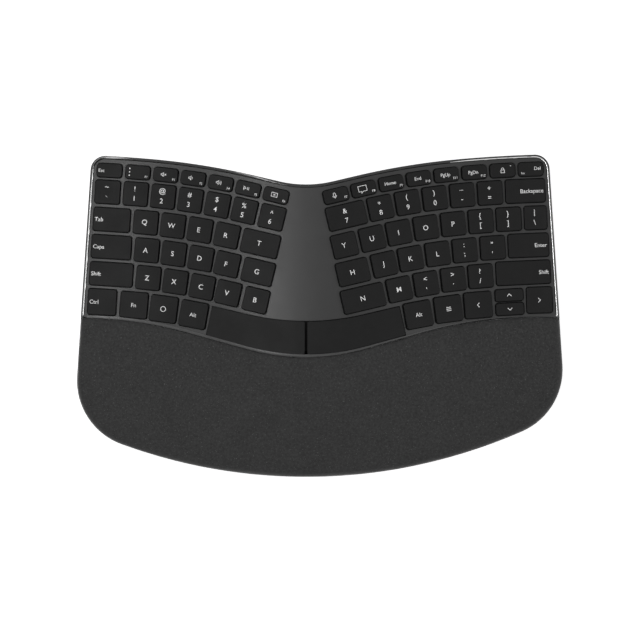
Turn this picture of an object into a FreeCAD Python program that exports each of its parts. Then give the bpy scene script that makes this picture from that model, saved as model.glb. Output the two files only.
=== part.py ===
import FreeCAD, Part
import math
import os

from FreeCAD import Matrix, Vector

# Split, domed desk keyboard with a padded palm rest. Millimetres, +Z up, +Y towards the rear.
# The origin is the middle of the bounding box, on the desk surface.

# Plan: distances from the split line, which stands a little left of the middle
SPLIT_X = -9.35
ROW_ANGLE = 13.3            # degrees that each hand's rows rise away from the split
GUIDE_START_Y = 79.2        # where the function row's line crosses the split
GUIDE_VALLEY_RADIUS = 88.0
GUIDE_STRAIGHT = 18.0
GUIDE_BEND_RADIUS = 480.0   # first, tighter stretch of the outward bend
GUIDE_BEND_ANGLE = 5.0      # row angle where the bend eases
GUIDE_EASE_RADIUS = 900.0
GUIDE_EASE_LENGTH = 120.0
REAR_MARGIN = 9.6           # from the function row's line to the rear edge
SIDE_AT_ZERO = 152.6        # half width of the left side at Y = 0
EXTRA_COLUMN = 19.2         # the right side is one key longer
SIDE_LEAN = 3.8             # degrees
REAR_CORNER_RADIUS = 10.0
FRONT_Y = -109.25
FRONT_RADIUS = 365.0
FRONT_CORNER_RADIUS = 46.0

# Line between the deck and the palm rest
SEAM_START_Y = -27.5
SEAM_VALLEY_RADIUS = 150.0
SEAM_ANGLE = 15.5
SEAM_STRAIGHT = 41.4
SEAM_BEND_RADIUS = 275.0
SEAM_LENGTH = 120.0
SEAM_GAP = 0.3

# Height of the top surface
EDGE_HEIGHT = 11.0
DOME_RISE = 26.0
DOME_REACH = 150.0
DOME_REACH_RIGHT = 155.0
CREST_Y = -5.0
REAR_DROP = 0.12            # share of the dome lost at the rear edge
FRONT_DROP = 0.78           # share of the dome lost at the front edge
REAR_Y = 109.4

# Shells
FOOT_HEIGHT = 1.6
FLOOR_THICKNESS = 2.0
FLOOR_EDGE_RADIUS = 1.2
LOCATING_WALL = 1.2         # thickness of the ring on the floor inside the rim
LOCATING_HEIGHT = 1.4
RIM_WIDTH = 2.2
RIM_STEP_WIDTH = 1.6        # ledge inside the rim that carries the deck
RIM_BEAD_RADIUS = 0.88
RIM_PROUD = 0.3
DECK_THICKNESS = 1.6
DECK_SKIRT_WALL = 0.9
DECK_SKIRT_DEPTH = 3.6      # from deck top to the foot of its skirt
SEAT_GAP = 0.1
PAD_THICKNESS = 3.4
PAD_EDGE_RADIUS = 6.0
BASE_WALL = 2.0

# Keys
KEY_PITCH = 19.2
FUNCTION_PITCH = 19.42
CAP_GAP = 2.1               # between neighbouring caps of one row
CAP_DEPTH = 16.1
FUNCTION_CAP_DEPTH = 9.5
BOTTOM_CAP_DEPTH = 17.8
ARROW_SPLIT_GAP = 1.0
CAP_CORNER_RADIUS = 1.8
FUNCTION_CORNER_RADIUS = 2.4
CAP_RISE = 2.3
CAP_SKIRT = 0.6
CAP_WALL = 1.1
CAP_ROOF = 1.2
CAP_DISH = 0.38
CAP_EDGE_RADIUS = 0.55
WELL_CLEARANCE = 0.4
WELL_REACH = 12.0           # from the deck's top, both ways, enough to pass its skirt
ROW_TAPER = 0.00022         # rows draw together by this share for each millimetre outwards
BLOCK_START = 11.0          # first cap's inner edge on the function row, from the split
BLOCK_START_LEAN = {-1: 0.042, 1: 0.055}   # inner edges lean towards the split by this share
BLOCK_SIDE_MARGIN = 4.2     # from the outline to the last cap
FUNCTION_SIDE_MARGIN = 4.5  # the same on the function row, where the outline turns
SPACE_SPLIT_GAP = 0.8
SPACE_FRONT_LIP = 1.4
SPACE_CORNER_RADIUS = 1.0
SPACE_END = 47.3            # length along the guide where the space bar's place ends

# Switches under the caps
PLATE_DEPTH = 4.8           # from deck top to plate top
PLATE_THICKNESS = 0.8
PLATE_MARGIN = 1.5
MEMBRANE_THICKNESS = 0.3
STACK_GAP = 0.05
DOME_GAP = 0.15
WIRE_RADIUS = 0.5
DOME_FLANGE_RADIUS = 3.8
DOME_FLANGE_HEIGHT = 0.4
DOME_ROOF = 1.2
DOME_FOOT_SHARE = 0.85      # radii against the flange, so that low caps have slimmer domes
DOME_NECK_SHARE = 0.6
DOME_WALL_SHARE = 0.2
SCISSOR_LENGTH = 11.0
SCISSOR_BAR = 0.7
SCISSOR_GAP = 0.15
SCISSOR_ROOM = 1.6          # left in front of and behind the frames for the wire
LOW_CAP_DEPTH = 12.0        # caps less deep than this have no room for a wire
LOW_CAP_ROOM = 0.4          # the room left in them
WIRED_WIDTH = 28.0          # caps wider than this have a stabiliser wire
WIRE_REACH = 15.0
WIRE_LEG = 3.0
WIRE_DROP = 0.7
WIRE_INSET = 2.0            # from the inside of a cap's wall to the end of its wire
WIRE_CLEARANCE = 0.35       # between a wire's feet and the membrane, which curves away from them
LIGHT_SIZE = 1.2
LIGHT_HEIGHT = 0.7
LIGHT_SPACING = [-2.2, 0.0, 2.2]
SPINE_BOSSES = [8.0, 66.0]
BOSS_RADIUS = 3.0

# Underside
FLOOR_TOP = FOOT_HEIGHT + FLOOR_THICKNESS
FEET = [(-140, 88), (140, 92), (-146, -48), (146, -48), (-60, -92), (42, -92)]
FOOT_RADIUS = 6.0
FOOT_RECESS = 0.5
FOOT_ROUND = 0.4
POSTS = [(-120, 48), (-70, 18), (44, 14), (96, 50), (140, 52), (-128, 16), (112, 16)]
POST_RADIUS = 4.0
SCREW_RADIUS = 1.3
SCREW_HEAD_RADIUS = 2.5
SCREW_HEAD_HEIGHT = 1.0
SCREW_SLOT = 0.6
SCREW_LENGTH = 4.2
SCREW_HEAD_Z = FOOT_HEIGHT + SCREW_HEAD_HEIGHT + 0.2
PALM_SCREWS = [(-128, -66), (118, -66), (-42, -96), (24, -96)]
PLATE_SCREWS = [(-70, 62), (44, 66)]
PLATE_SCREW_GRIP = 3.0
BATTERY_RADIUS = 5.2
BATTERY_LENGTH = 44.0
CELL_NUB = 1.0
CELL_NUB_RADIUS = 1.9
CONTACT_THICKNESS = 0.5
CONTACT_SIZE = 8.0
CONTACT_LIFT = 1.0
BAY_Y = 42.0
BAY_ROOM = 0.4
BAY_WALL = 1.4
BAY_LENGTH = BATTERY_LENGTH + 6.0
BAY_DEPTH = 4 * BATTERY_RADIUS + 3 * BAY_ROOM
DOOR_THICKNESS = 1.6
DOOR_GAP = 0.35
DOOR_LIP = 1.6
DOOR_PIN_RADIUS = 0.5
DOOR_PIN_LENGTH = 1.0
DOOR_GROOVES = 3
DOOR_GROOVE_PITCH = 2.0
DOOR_GROOVE_LENGTH = 14.0
DOOR_GROOVE_WIDTH = 0.8
DOOR_GROOVE_DEPTH = 0.4
DOOR_GROOVE_MARGIN = 4.0    # from the door's front edge to its first groove
DOOR_HINGE_Z = FOOT_HEIGHT + (DOOR_THICKNESS + SEAT_GAP) / 2
DOOR_HINGE_Y = BAY_Y + BAY_DEPTH / 2 + DOOR_LIP - DOOR_GAP - (DOOR_THICKNESS - SEAT_GAP) / 2
LEG_X = 112.0
LEG_Y = 78.0
LEG_WIDTH = 24.0
LEG_LENGTH = 20.0
LEG_THICKNESS = 3.0
LEG_TIP_RADIUS = 0.8
LEG_PIN_RADIUS = 1.0
LEG_PIN_LENGTH = 1.0
LEG_FRAME = 4.0             # side bars beside the recess in a leg's foot side
LEG_RECESS_START = 7.0
LEG_RECESS_LENGTH = 8.0
LEG_RECESS_DEPTH = 1.2
PIN_CLEARANCE = 0.1
POCKET_WIDTH = LEG_WIDTH + 2 * DOOR_GAP
POCKET_LENGTH = LEG_LENGTH + LEG_THICKNESS / 2 + 2 * DOOR_GAP + 1
LEG_HINGE_Y = LEG_Y + POCKET_LENGTH / 2 - DOOR_GAP - LEG_THICKNESS / 2
LEG_HINGE_Z = FOOT_HEIGHT + SEAT_GAP + LEG_THICKNESS / 2
POCKET_TOP = LEG_HINGE_Z + LEG_THICKNESS / 2 + DOOR_GAP
POCKET_ROOF = 1.0
SWITCH_X = 60.0
SWITCH_Y = 84.0
SWITCH_TRAVEL = 4.0
SWITCH_HEIGHT = 5.0
SWITCH_WALL = 1.5
KNOB_WIDTH = 4.5
KNOB_DEPTH = 3.0
KNOB_GROOVE_PITCH = 1.2
KNOB_GROOVE_WIDTH = 0.5
KNOB_GROOVE_DEPTH = 0.4
FLANGE_HEIGHT = 0.8
BOARD_X = 48.0
BOARD_Y = 40.0
BOARD_Z = 8.0
BOARD_WIDTH = 44.0
BOARD_DEPTH = 26.0
BOARD_THICKNESS = 1.2
BOARD_POST_RADIUS = 2.0
BOARD_POST_INSET = 4.0
BOARD_POSTS = [(BOARD_X + i * (BOARD_WIDTH / 2 - BOARD_POST_INSET),
                BOARD_Y + j * (BOARD_DEPTH / 2 - BOARD_POST_INSET)) for i in (-1, 1) for j in (-1, 1)]
CHIPS = [(-12, 0, 7, 7, 1.0), (2, -6, 5, 5, 0.8), (12, 2, 10, 8, 1.6)]   # place on the board and size
SOCKET_HEIGHT = 2.0
SOCKET_DEPTH = 3.0
SOCKET_WALL = 2.0
TAIL_Y = BOARD_Y + BOARD_DEPTH / 2 - SOCKET_DEPTH
TAIL_ROOM = 0.8
TAIL_WIDTH = 12.0
TAIL_THICKNESS = 0.25

FAR = 400.0
TALL = 80.0

parts = {}


class Rail:
    """Plan curve that leaves the split square to it and runs outwards in arcs and straights."""

    def __init__(self, start_y, legs, angle=0.0):
        self.legs = []
        u, v = 0.0, start_y
        for length, radius in legs:
            self.legs.append((u, v, angle, length, radius))
            u, v, angle = self.step(u, v, angle, length, radius)

    @staticmethod
    def step(u, v, angle, length, radius):
        """Move along one leg; a positive radius bends to the rear, zero is straight."""
        if not radius:
            return u + length * math.cos(angle), v + length * math.sin(angle), angle
        turned = angle + length / radius
        u += radius * (math.sin(turned) - math.sin(angle))
        v -= radius * (math.cos(turned) - math.cos(angle))
        return u, v, turned

    def at(self, s, forward=0.0):
        """Point and angle at length s, moved forward square to the curve."""
        for u, v, angle, length, radius in self.legs:
            if s <= length or (u, v, angle, length, radius) == self.legs[-1]:
                u, v, angle = self.step(u, v, angle, s, radius)
                break
            s -= length
        return u + forward * math.sin(angle), v - forward * math.cos(angle), angle

    def edges(self, side, end, forward=0.0, start=0.0):
        """Edges of one side from start to end, as lines and true arcs."""
        made, base = [], 0.0
        for _, _, _, length, radius in self.legs:
            low, high = max(start, base), min(end, base + length)
            if high - low > 1e-6:
                spots = [plan(side, *self.at(s, forward)[:2]) for s in (low, (low + high) / 2, high)]
                made.append(arc_edge(*spots) if radius else line_edge(spots[0], spots[2]))
            base += length
        return made


def plan(side, u, v, z=0.0):
    """Place a point given by its distance from the split on one side of it."""
    return Vector(SPLIT_X + side * u, v, z)


def line_edge(a, b):
    return Part.LineSegment(a, b).toShape()


def arc_edge(a, b, c):
    return Part.Arc(a, b, c).toShape()


def face_of(edges):
    return Part.Face(Part.Wire(Part.__sortEdges__(edges)))


def raised(face, low, high):
    """Prism over a plan face between two heights."""
    solid = face.extrude(Vector(0, 0, high - low))
    solid.translate(Vector(0, 0, low))
    return solid


def box(x, y, low, width, depth, height):
    """Box centred on x, y that stands on the height low."""
    return Part.makeBox(width, depth, height, Vector(x - width / 2, y - depth / 2, low))


def rod(x, y, low, radius, height):
    return Part.makeCylinder(radius, height, Vector(x, y, low))


def biggest(shape):
    """The largest solid of a shape as a clean solid."""
    return max(shape.Solids, key=lambda s: s.Volume)


bend = math.radians(ROW_ANGLE)
ease = math.radians(GUIDE_BEND_ANGLE)
guide = Rail(GUIDE_START_Y, [
    (GUIDE_VALLEY_RADIUS * bend, GUIDE_VALLEY_RADIUS),
    (GUIDE_STRAIGHT, 0),
    (GUIDE_BEND_RADIUS * (bend - ease), -GUIDE_BEND_RADIUS),
    (GUIDE_EASE_LENGTH, -GUIDE_EASE_RADIUS),
])
key_guide = Rail(GUIDE_START_Y - GUIDE_VALLEY_RADIUS * (1 / math.cos(bend) - 1), [
    (GUIDE_VALLEY_RADIUS * math.tan(bend) + GUIDE_STRAIGHT, 0),
    (GUIDE_BEND_RADIUS * (bend - ease), -GUIDE_BEND_RADIUS),
    (GUIDE_EASE_LENGTH, -GUIDE_EASE_RADIUS),
], bend)
KEY_GUIDE_LEAD = GUIDE_VALLEY_RADIUS * (math.tan(bend) - bend)
seam_bend = math.radians(SEAM_ANGLE)
seam = Rail(SEAM_START_Y, [
    (SEAM_VALLEY_RADIUS * seam_bend, SEAM_VALLEY_RADIUS),
    (SEAM_STRAIGHT, 0),
    (SEAM_LENGTH, -SEAM_BEND_RADIUS),
])


def side_reach(side, y):
    """Half width of the outline at a Y, from the split."""
    reach = SIDE_AT_ZERO + (EXTRA_COLUMN if side > 0 else 0.0)
    return reach - y * math.tan(math.radians(SIDE_LEAN))


def meet_side(rail, side, forward, inset=0.0):
    """Length along a rail where it reaches the side line, less an inset."""
    low, high = 0.0, sum(leg[3] for leg in rail.legs)
    for _ in range(50):
        middle = (low + high) / 2
        u, v, _ = rail.at(middle, forward)
        low, high = (middle, high) if u < side_reach(side, v) - inset else (low, middle)
    return low


def front_corner(side):
    """Point where the front arc meets the side line."""
    v = FRONT_Y
    for _ in range(50):
        u = side_reach(side, v)
        v = FRONT_Y + FRONT_RADIUS - math.sqrt(FRONT_RADIUS ** 2 - u ** 2)
    return side_reach(side, v), v


def outline_face():
    """Closed plan outline with its four corners rounded."""
    edges, corners = [], []
    for side in (-1, 1):
        end = meet_side(guide, side, -REAR_MARGIN)
        edges += guide.edges(side, end, -REAR_MARGIN)
        rear = plan(side, *guide.at(end, -REAR_MARGIN)[:2])
        front = plan(side, *front_corner(side))
        edges.append(line_edge(rear, front))
        corners += [(rear, REAR_CORNER_RADIUS), (front, FRONT_CORNER_RADIUS)]
    edges.append(arc_edge(corners[1][0], plan(1, 0, FRONT_Y), corners[3][0]))
    solid = raised(face_of(edges), 0, 10)
    for spot, radius in corners:
        upright = [e for e in solid.Edges
                   if len(e.Vertexes) == 2 and abs(e.tangentAt(e.FirstParameter).z) > 0.99
                   and math.hypot(e.CenterOfMass.x - spot.x, e.CenterOfMass.y - spot.y) < 0.01]
        solid = solid.makeFillet(radius, upright)
    bottom = min(solid.Faces, key=lambda f: f.CenterOfMass.z)
    return Part.Face(bottom.OuterWire)


def inset_face(face, distance):
    """Plan face drawn in by a distance, with its corners kept round."""
    wire = face.OuterWire.makeOffset2D(-distance)
    return Part.Face(wire)


def rear_face(forward):
    """Everything behind the seam, with the seam moved forward by a distance."""
    edges, ends = [], []
    for side in (-1, 1):
        end = sum(leg[3] for leg in seam.legs)
        edges += seam.edges(side, end, forward)
        tip = plan(side, *seam.at(end, forward)[:2])
        wide = Vector(side * FAR, tip.y, 0)
        corner = Vector(side * FAR, FAR, 0)
        edges += [line_edge(tip, wide), line_edge(wide, corner)]
        ends.append(corner)
    edges.append(line_edge(*ends))
    return face_of(edges)


def top_height(x, y):
    """Height of the finished top surface of deck and palm rest."""
    reach = DOME_REACH_RIGHT if x > SPLIT_X else DOME_REACH
    u = min(abs(x - SPLIT_X), reach)
    across = 0.5 * (1 + math.cos(math.pi * u / reach))
    if y > CREST_Y:
        along = 1 - REAR_DROP * ((y - CREST_Y) / (REAR_Y - CREST_Y)) ** 2
    else:
        along = 1 - FRONT_DROP * ((CREST_Y - y) / (CREST_Y - FRONT_Y)) ** 2
    return EDGE_HEIGHT + DOME_RISE * across * along


def slopes(x, y):
    step = 0.01
    return ((top_height(x + step, y) - top_height(x - step, y)) / (2 * step),
            (top_height(x, y + step) - top_height(x, y - step)) / (2 * step))


def ground_solid():
    """Everything below the top surface, as one wide solid."""
    columns, rows, reach_x, reach_y = 44, 24, 190.0, 125.0
    grid = []
    for i in range(columns + 1):
        x = -reach_x + 2 * reach_x * i / columns
        line = []
        for j in range(rows + 1):
            y = -reach_y + 2 * reach_y * j / rows
            line.append(Vector(x, y, top_height(x, y)))
        grid.append(line)
    surface = Part.BSplineSurface()
    surface.interpolate(grid)
    return surface.toShape().extrude(Vector(0, 0, -TALL))


ground = ground_solid()


def under(depth):
    """Copy of the space below the top surface, moved down by a depth."""
    solid = ground.copy()
    solid.translate(Vector(0, 0, -depth))
    return solid


class Seat:
    """Frame of one cap: its place on the surface, its axes and its cap's size."""

    def __init__(self, side, s, forward, width, depth, corner):
        u, v, angle = key_guide.at(s, forward)
        self.origin = plan(side, u, v)
        self.origin.z = top_height(self.origin.x, self.origin.y)
        fall_x, fall_y = slopes(self.origin.x, self.origin.y)
        self.normal = Vector(-fall_x, -fall_y, 1).normalize()
        along = Vector(math.cos(angle), side * math.sin(angle), 0)
        along.z = fall_x * along.x + fall_y * along.y
        self.along = along.normalize()
        self.across = self.normal.cross(self.along)
        self.width, self.depth, self.corner = width, depth, corner

    def matrix(self):
        a, b, n, o = self.along, self.across, self.normal, self.origin
        return Matrix(a.x, b.x, n.x, o.x, a.y, b.y, n.y, o.y, a.z, b.z, n.z, o.z, 0, 0, 0, 1)

    def place(self, shape):
        placed = shape.copy()
        placed.transformShape(self.matrix())
        return placed

    def cap(self):
        return self.place(cap_shape(self.width, self.depth, self.corner))

    def moved(self, across, depth):
        """Copy of the seat shifted across its row, for half-height caps."""
        twin = Seat.__new__(Seat)
        twin.__dict__.update(self.__dict__)
        twin.origin = self.origin + self.across * across
        twin.depth = depth
        return twin


def row_forward(row_offset, s):
    """Distance of a row from the guide, which shrinks a little outwards."""
    return row_offset * (1 - ROW_TAPER * max(0.0, s - BLOCK_START))


def walk(side, row_offset, start, length):
    """Guide length reached after a surface length along a row from a start."""
    s, done, step = start, 0.0, 0.25
    u, v, _ = key_guide.at(s, row_forward(row_offset, s))
    here = plan(side, u, v, 0)
    here.z = top_height(here.x, here.y)
    while done < length:
        s += step
        u, v, _ = key_guide.at(s, row_forward(row_offset, s))
        there = plan(side, u, v, 0)
        there.z = top_height(there.x, there.y)
        gone = there.distanceToPoint(here)
        if done + gone > length:
            return s - step * (1 - (length - done) / gone)
        done, here = done + gone, there
    return s


def row_seats(side, row_offset, names, units, cap_depth, pitch=KEY_PITCH, start=None,
              corner=CAP_CORNER_RADIUS, margin=BLOCK_SIDE_MARGIN):
    """Seats of one hand's row from the split outwards; the last cap fills up to the side."""
    s = BLOCK_START - BLOCK_START_LEAN[side] * row_offset if start is None else start
    made = {}
    for index, name in enumerate(names):
        last = index == len(names) - 1
        if last:
            end = meet_block_side(side, row_offset, margin)
        else:
            end = walk(side, row_offset, s, units[index] * pitch)
        middle = (s + end) / 2
        low = plan(side, *key_guide.at(s, row_forward(row_offset, s))[:2])
        high = plan(side, *key_guide.at(end, row_forward(row_offset, end))[:2])
        low.z, high.z = top_height(low.x, low.y), top_height(high.x, high.y)
        width = high.distanceToPoint(low) - CAP_GAP
        made[name] = Seat(side, middle, row_forward(row_offset, middle), width, cap_depth, corner)
        s = end
    return made


def meet_block_side(side, row_offset, margin):
    """Guide length where a row's last cap ends, just inside the rim."""
    low, high = 0.0, sum(leg[3] for leg in key_guide.legs)
    for _ in range(50):
        middle = (low + high) / 2
        u, v, _ = key_guide.at(middle, row_forward(row_offset, middle))
        inside = u < side_reach(side, v) - margin + CAP_GAP / 2
        low, high = (middle, high) if inside else (low, middle)
    return low


# Rows: distance of each row from the guide
FUNCTION_ROW = 0.3
NUMBER_ROW = 15.3
TOP_ROW = 34.4
HOME_ROW = 53.4
LOWER_ROW = 72.3
BOTTOM_ROW = 92.0
MODIFIER = 1.11

left_rows = {
    "function": row_seats(-1, FUNCTION_ROW, ["f6", "f5", "f4", "f3", "f2", "f1", "esc"],
                          [1] * 6, FUNCTION_CAP_DEPTH, FUNCTION_PITCH,
                          corner=FUNCTION_CORNER_RADIUS, margin=FUNCTION_SIDE_MARGIN),
    "number": row_seats(-1, NUMBER_ROW, ["6", "5", "4", "3", "2", "1", "tilde"], [1] * 6, CAP_DEPTH),
    "top": row_seats(-1, TOP_ROW, ["t", "r", "e", "w", "q", "tab"], [1.46, 1, 1, 1, 1], CAP_DEPTH),
    "home": row_seats(-1, HOME_ROW, ["g", "f", "d", "s", "a", "caps_lock"],
                      [1.24, 1, 1, 1, 1], CAP_DEPTH),
    "lower": row_seats(-1, LOWER_ROW, ["b", "v", "c", "x", "z", "left_shift"], [1] * 5, CAP_DEPTH),
}
right_rows = {
    "function": row_seats(1, FUNCTION_ROW, ["f7", "f8", "f9", "f10", "f11", "f12", "lock", "delete"],
                          [1] * 7, FUNCTION_CAP_DEPTH, FUNCTION_PITCH,
                          corner=FUNCTION_CORNER_RADIUS, margin=FUNCTION_SIDE_MARGIN),
    "number": row_seats(1, NUMBER_ROW, ["7", "8", "9", "0", "minus", "equals", "backspace"],
                        [1.5, 1, 1, 1, 1, 1], CAP_DEPTH),
    "top": row_seats(1, TOP_ROW, ["y", "u", "i", "o", "p", "bracket_left", "bracket_right", "backslash"],
                     [1] * 7, CAP_DEPTH),
    "home": row_seats(1, HOME_ROW, ["h", "j", "k", "l", "semicolon", "quote", "enter"],
                      [1.26, 1, 1, 1, 1, 1], CAP_DEPTH),
    "lower": row_seats(1, LOWER_ROW, ["n", "m", "comma", "full_stop", "slash", "right_shift"],
                       [1.66, 1, 1, 1, 1], CAP_DEPTH),
}
left_rows["bottom"] = row_seats(-1, BOTTOM_ROW, ["left_alt", "system", "fn", "left_ctrl"],
                                [MODIFIER] * 3, BOTTOM_CAP_DEPTH, start=SPACE_END + KEY_GUIDE_LEAD)
right_rows["bottom"] = row_seats(1, BOTTOM_ROW, ["right_alt", "assistant", "arrow_left", "arrow_up",
                                                 "arrow_right"],
                                 [MODIFIER] * 4, BOTTOM_CAP_DEPTH, start=SPACE_END + KEY_GUIDE_LEAD)
arrow_depth = (BOTTOM_CAP_DEPTH - ARROW_SPLIT_GAP) / 2
middle_arrow = right_rows["bottom"]["arrow_up"]
arrow_shift = (arrow_depth + ARROW_SPLIT_GAP) / 2
right_rows["bottom"]["arrow_down"] = middle_arrow.moved(-arrow_shift, arrow_depth)
right_rows["bottom"]["arrow_up"] = middle_arrow.moved(arrow_shift, arrow_depth)

# Nodes: single caps by name, and banks of like caps
BANKS = {
    "keys_left_function": (left_rows["function"], ["f6", "f5", "f4", "f3", "f2", "f1"]),
    "keys_right_function": (right_rows["function"], ["f7", "f8", "f9", "f10", "f11", "f12"]),
    "keys_left_number": (left_rows["number"], ["6", "5", "4", "3", "2", "1", "tilde"]),
    "keys_right_number": (right_rows["number"], ["8", "9", "0", "minus", "equals"]),
    "keys_left_top": (left_rows["top"], ["r", "e", "w", "q"]),
    "keys_right_top": (right_rows["top"], ["y", "u", "i", "o", "p", "bracket_left", "bracket_right",
                                           "backslash"]),
    "keys_left_home": (left_rows["home"], ["f", "d", "s", "a"]),
    "keys_right_home": (right_rows["home"], ["j", "k", "l", "semicolon", "quote"]),
    "keys_left_lower": (left_rows["lower"], ["b", "v", "c", "x", "z"]),
    "keys_right_lower": (right_rows["lower"], ["m", "comma", "full_stop", "slash"]),
}
SINGLES = {
    "key_esc": (left_rows["function"], "esc"),
    "key_tab": (left_rows["top"], "tab"),
    "key_caps_lock": (left_rows["home"], "caps_lock"),
    "key_left_shift": (left_rows["lower"], "left_shift"),
    "key_left_ctrl": (left_rows["bottom"], "left_ctrl"),
    "key_fn": (left_rows["bottom"], "fn"),
    "key_system": (left_rows["bottom"], "system"),
    "key_left_alt": (left_rows["bottom"], "left_alt"),
    "key_t": (left_rows["top"], "t"),
    "key_g": (left_rows["home"], "g"),
    "key_7": (right_rows["number"], "7"),
    "key_h": (right_rows["home"], "h"),
    "key_n": (right_rows["lower"], "n"),
    "key_right_alt": (right_rows["bottom"], "right_alt"),
    "key_assistant": (right_rows["bottom"], "assistant"),
    "key_arrow_left": (right_rows["bottom"], "arrow_left"),
    "key_arrow_up": (right_rows["bottom"], "arrow_up"),
    "key_arrow_down": (right_rows["bottom"], "arrow_down"),
    "key_arrow_right": (right_rows["bottom"], "arrow_right"),
    "key_right_shift": (right_rows["lower"], "right_shift"),
    "key_enter": (right_rows["home"], "enter"),
    "key_backspace": (right_rows["number"], "backspace"),
    "key_delete": (right_rows["function"], "delete"),
    "key_lock": (right_rows["function"], "lock"),
}


def round_rectangle(width, depth, radius, z=0.0):
    """Plan face of a rounded rectangle centred on the origin."""
    a, b, r = width / 2, depth / 2, radius
    cut = r * (1 - math.sqrt(0.5))
    edges = []
    for sx, sy in ((1, 1), (-1, 1), (-1, -1), (1, -1)):
        start = Vector(sx * a, sy * (b - r), z)
        end = Vector(sx * (a - r), sy * b, z)
        edges.append(arc_edge(start, Vector(sx * (a - cut), sy * (b - cut), z), end))
    edges += [line_edge(Vector(s * a, -(b - r), z), Vector(s * a, b - r, z)) for s in (-1, 1)]
    edges += [line_edge(Vector(-(a - r), s * b, z), Vector(a - r, s * b, z)) for s in (-1, 1)]
    return face_of(edges)


cap_store = {}


def cap_shape(width, depth, corner):
    """Hollow cap with a cylindrical dish and a soft top edge, in its own frame."""
    size = (round(width, 2), round(depth, 2))
    if size in cap_store:
        return cap_store[size]
    body = raised(round_rectangle(width, depth, corner), -CAP_SKIRT, CAP_RISE + 2 * CAP_DISH)
    dish_radius = width ** 2 / (8 * CAP_DISH)
    dish = Part.makeCylinder(dish_radius, 2 * depth, Vector(0, -depth, CAP_RISE + dish_radius),
                             Vector(0, 1, 0))
    body = biggest(body.cut(dish))
    rim = [e for e in body.Edges if e.BoundBox.ZMin > CAP_RISE - 0.01]
    body = rounded(body, rim, CAP_EDGE_RADIUS)
    hollow = round_rectangle(width - 2 * CAP_WALL, depth - 2 * CAP_WALL, corner - CAP_WALL / 2)
    body = biggest(body.cut(raised(hollow, -CAP_SKIRT - 1, CAP_RISE - CAP_ROOF)))
    cap_store[size] = body
    return body


def well_shape(width, depth, corner):
    """Prism that clears a cap all round, in the cap's frame."""
    face = round_rectangle(width + 2 * WELL_CLEARANCE, depth + 2 * WELL_CLEARANCE,
                           corner + WELL_CLEARANCE)
    return raised(face, -WELL_REACH, WELL_REACH)


def space_face(side, spread):
    """Plan face of one half of the space bar, grown by a spread."""
    rear = BOTTOM_ROW - BOTTOM_CAP_DEPTH / 2 - spread
    front = -SPACE_FRONT_LIP + spread
    start = SPACE_SPLIT_GAP / 2 - spread
    end = SPACE_END - CAP_GAP / 2 + spread
    seam_start, seam_end = seam_foot(start, rear, front), seam_foot(end, rear, front)
    edges = guide.edges(side, end, rear, start) + seam.edges(side, seam_end, front, seam_start)
    for s, seam_s in ((start, seam_start), (end, seam_end)):
        edges.append(line_edge(plan(side, *guide.at(s, rear)[:2]),
                               plan(side, *seam.at(seam_s, front)[:2])))
    return face_of(edges)


def seam_foot(s, rear, front):
    """Seam length straight in front of a point of the space bar's rear edge."""
    u0, v0, angle = guide.at(s, rear)
    low, high = 0.0, sum(leg[3] for leg in seam.legs)
    for _ in range(50):
        middle = (low + high) / 2
        u, v, _ = seam.at(middle, front)
        ahead = (u - u0) * math.cos(angle) + (v - v0) * math.sin(angle)
        low, high = (middle, high) if ahead < 0 else (low, middle)
    return low


def space_seat(side):
    """Frame in the middle of half a space bar, for its switch and its travel."""
    middle = SPACE_END / 2
    rear = BOTTOM_ROW - BOTTOM_CAP_DEPTH / 2
    back = Vector(*guide.at(middle, rear)[:2], 0)
    ahead = Vector(*seam.at(seam_foot(middle, rear, -SPACE_FRONT_LIP), -SPACE_FRONT_LIP)[:2], 0)
    depth = back.distanceToPoint(ahead)
    return Seat(side, middle + KEY_GUIDE_LEAD, rear + depth / 2, 2 * (SPACE_END - CAP_GAP), depth, 0)


def space_bar(side):
    """Half of the space bar: follows the dome, hollow, with soft top edges."""
    seat, face = space_seat(side), space_face(side, 0.0)
    body = raised(face, 0, TALL).common(under(-CAP_RISE)).cut(under(CAP_SKIRT))
    body = biggest(body)
    upright = [e for e in body.Edges if e.BoundBox.ZLength > 0.8 * CAP_RISE and e.Length < 2 * CAP_RISE]
    body = rounded(body, upright, SPACE_CORNER_RADIUS)
    top = max(body.Faces, key=lambda f: f.Area * (f.CenterOfMass.z > seat.origin.z))
    body = rounded(body, top.Edges, CAP_EDGE_RADIUS)
    hollow = raised(inset_face(face, CAP_WALL), 0, TALL).common(under(CAP_ROOF - CAP_RISE))
    return biggest(body.cut(hollow))


def rounded(body, edges, radius):
    """Body with some of its edges rounded."""
    return biggest(body.makeFillet(radius, edges))


def key_seats():
    """Every round-cornered cap's seat."""
    return [seat for rows in (left_rows, right_rows) for row in rows.values() for seat in row.values()]


def make_caps():
    for node, (row, names) in BANKS.items():
        parts[node] = Part.makeCompound([row[n].cap() for n in names])
    for node, (row, name) in SINGLES.items():
        parts[node] = row[name].cap()
    parts["left_space_bar"] = space_bar(-1)
    parts["right_space_bar"] = space_bar(1)


def top_edges(body, depth):
    """Edges that lie on the top surface moved down by a depth."""
    chosen = []
    for edge in body.Edges:
        spots = edge.discretize(5)
        if all(abs(p.z - top_height(p.x, p.y) + depth) < 0.03 for p in spots):
            chosen.append(edge)
    return chosen


def make_shells():
    outline = outline_face()
    behind = raised(rear_face(0.0), -1, TALL)
    make_rim(outline, behind)
    make_deck(outline)
    make_palm_rest(outline)
    make_stack(outline)
    make_bottom(outline)


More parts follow.
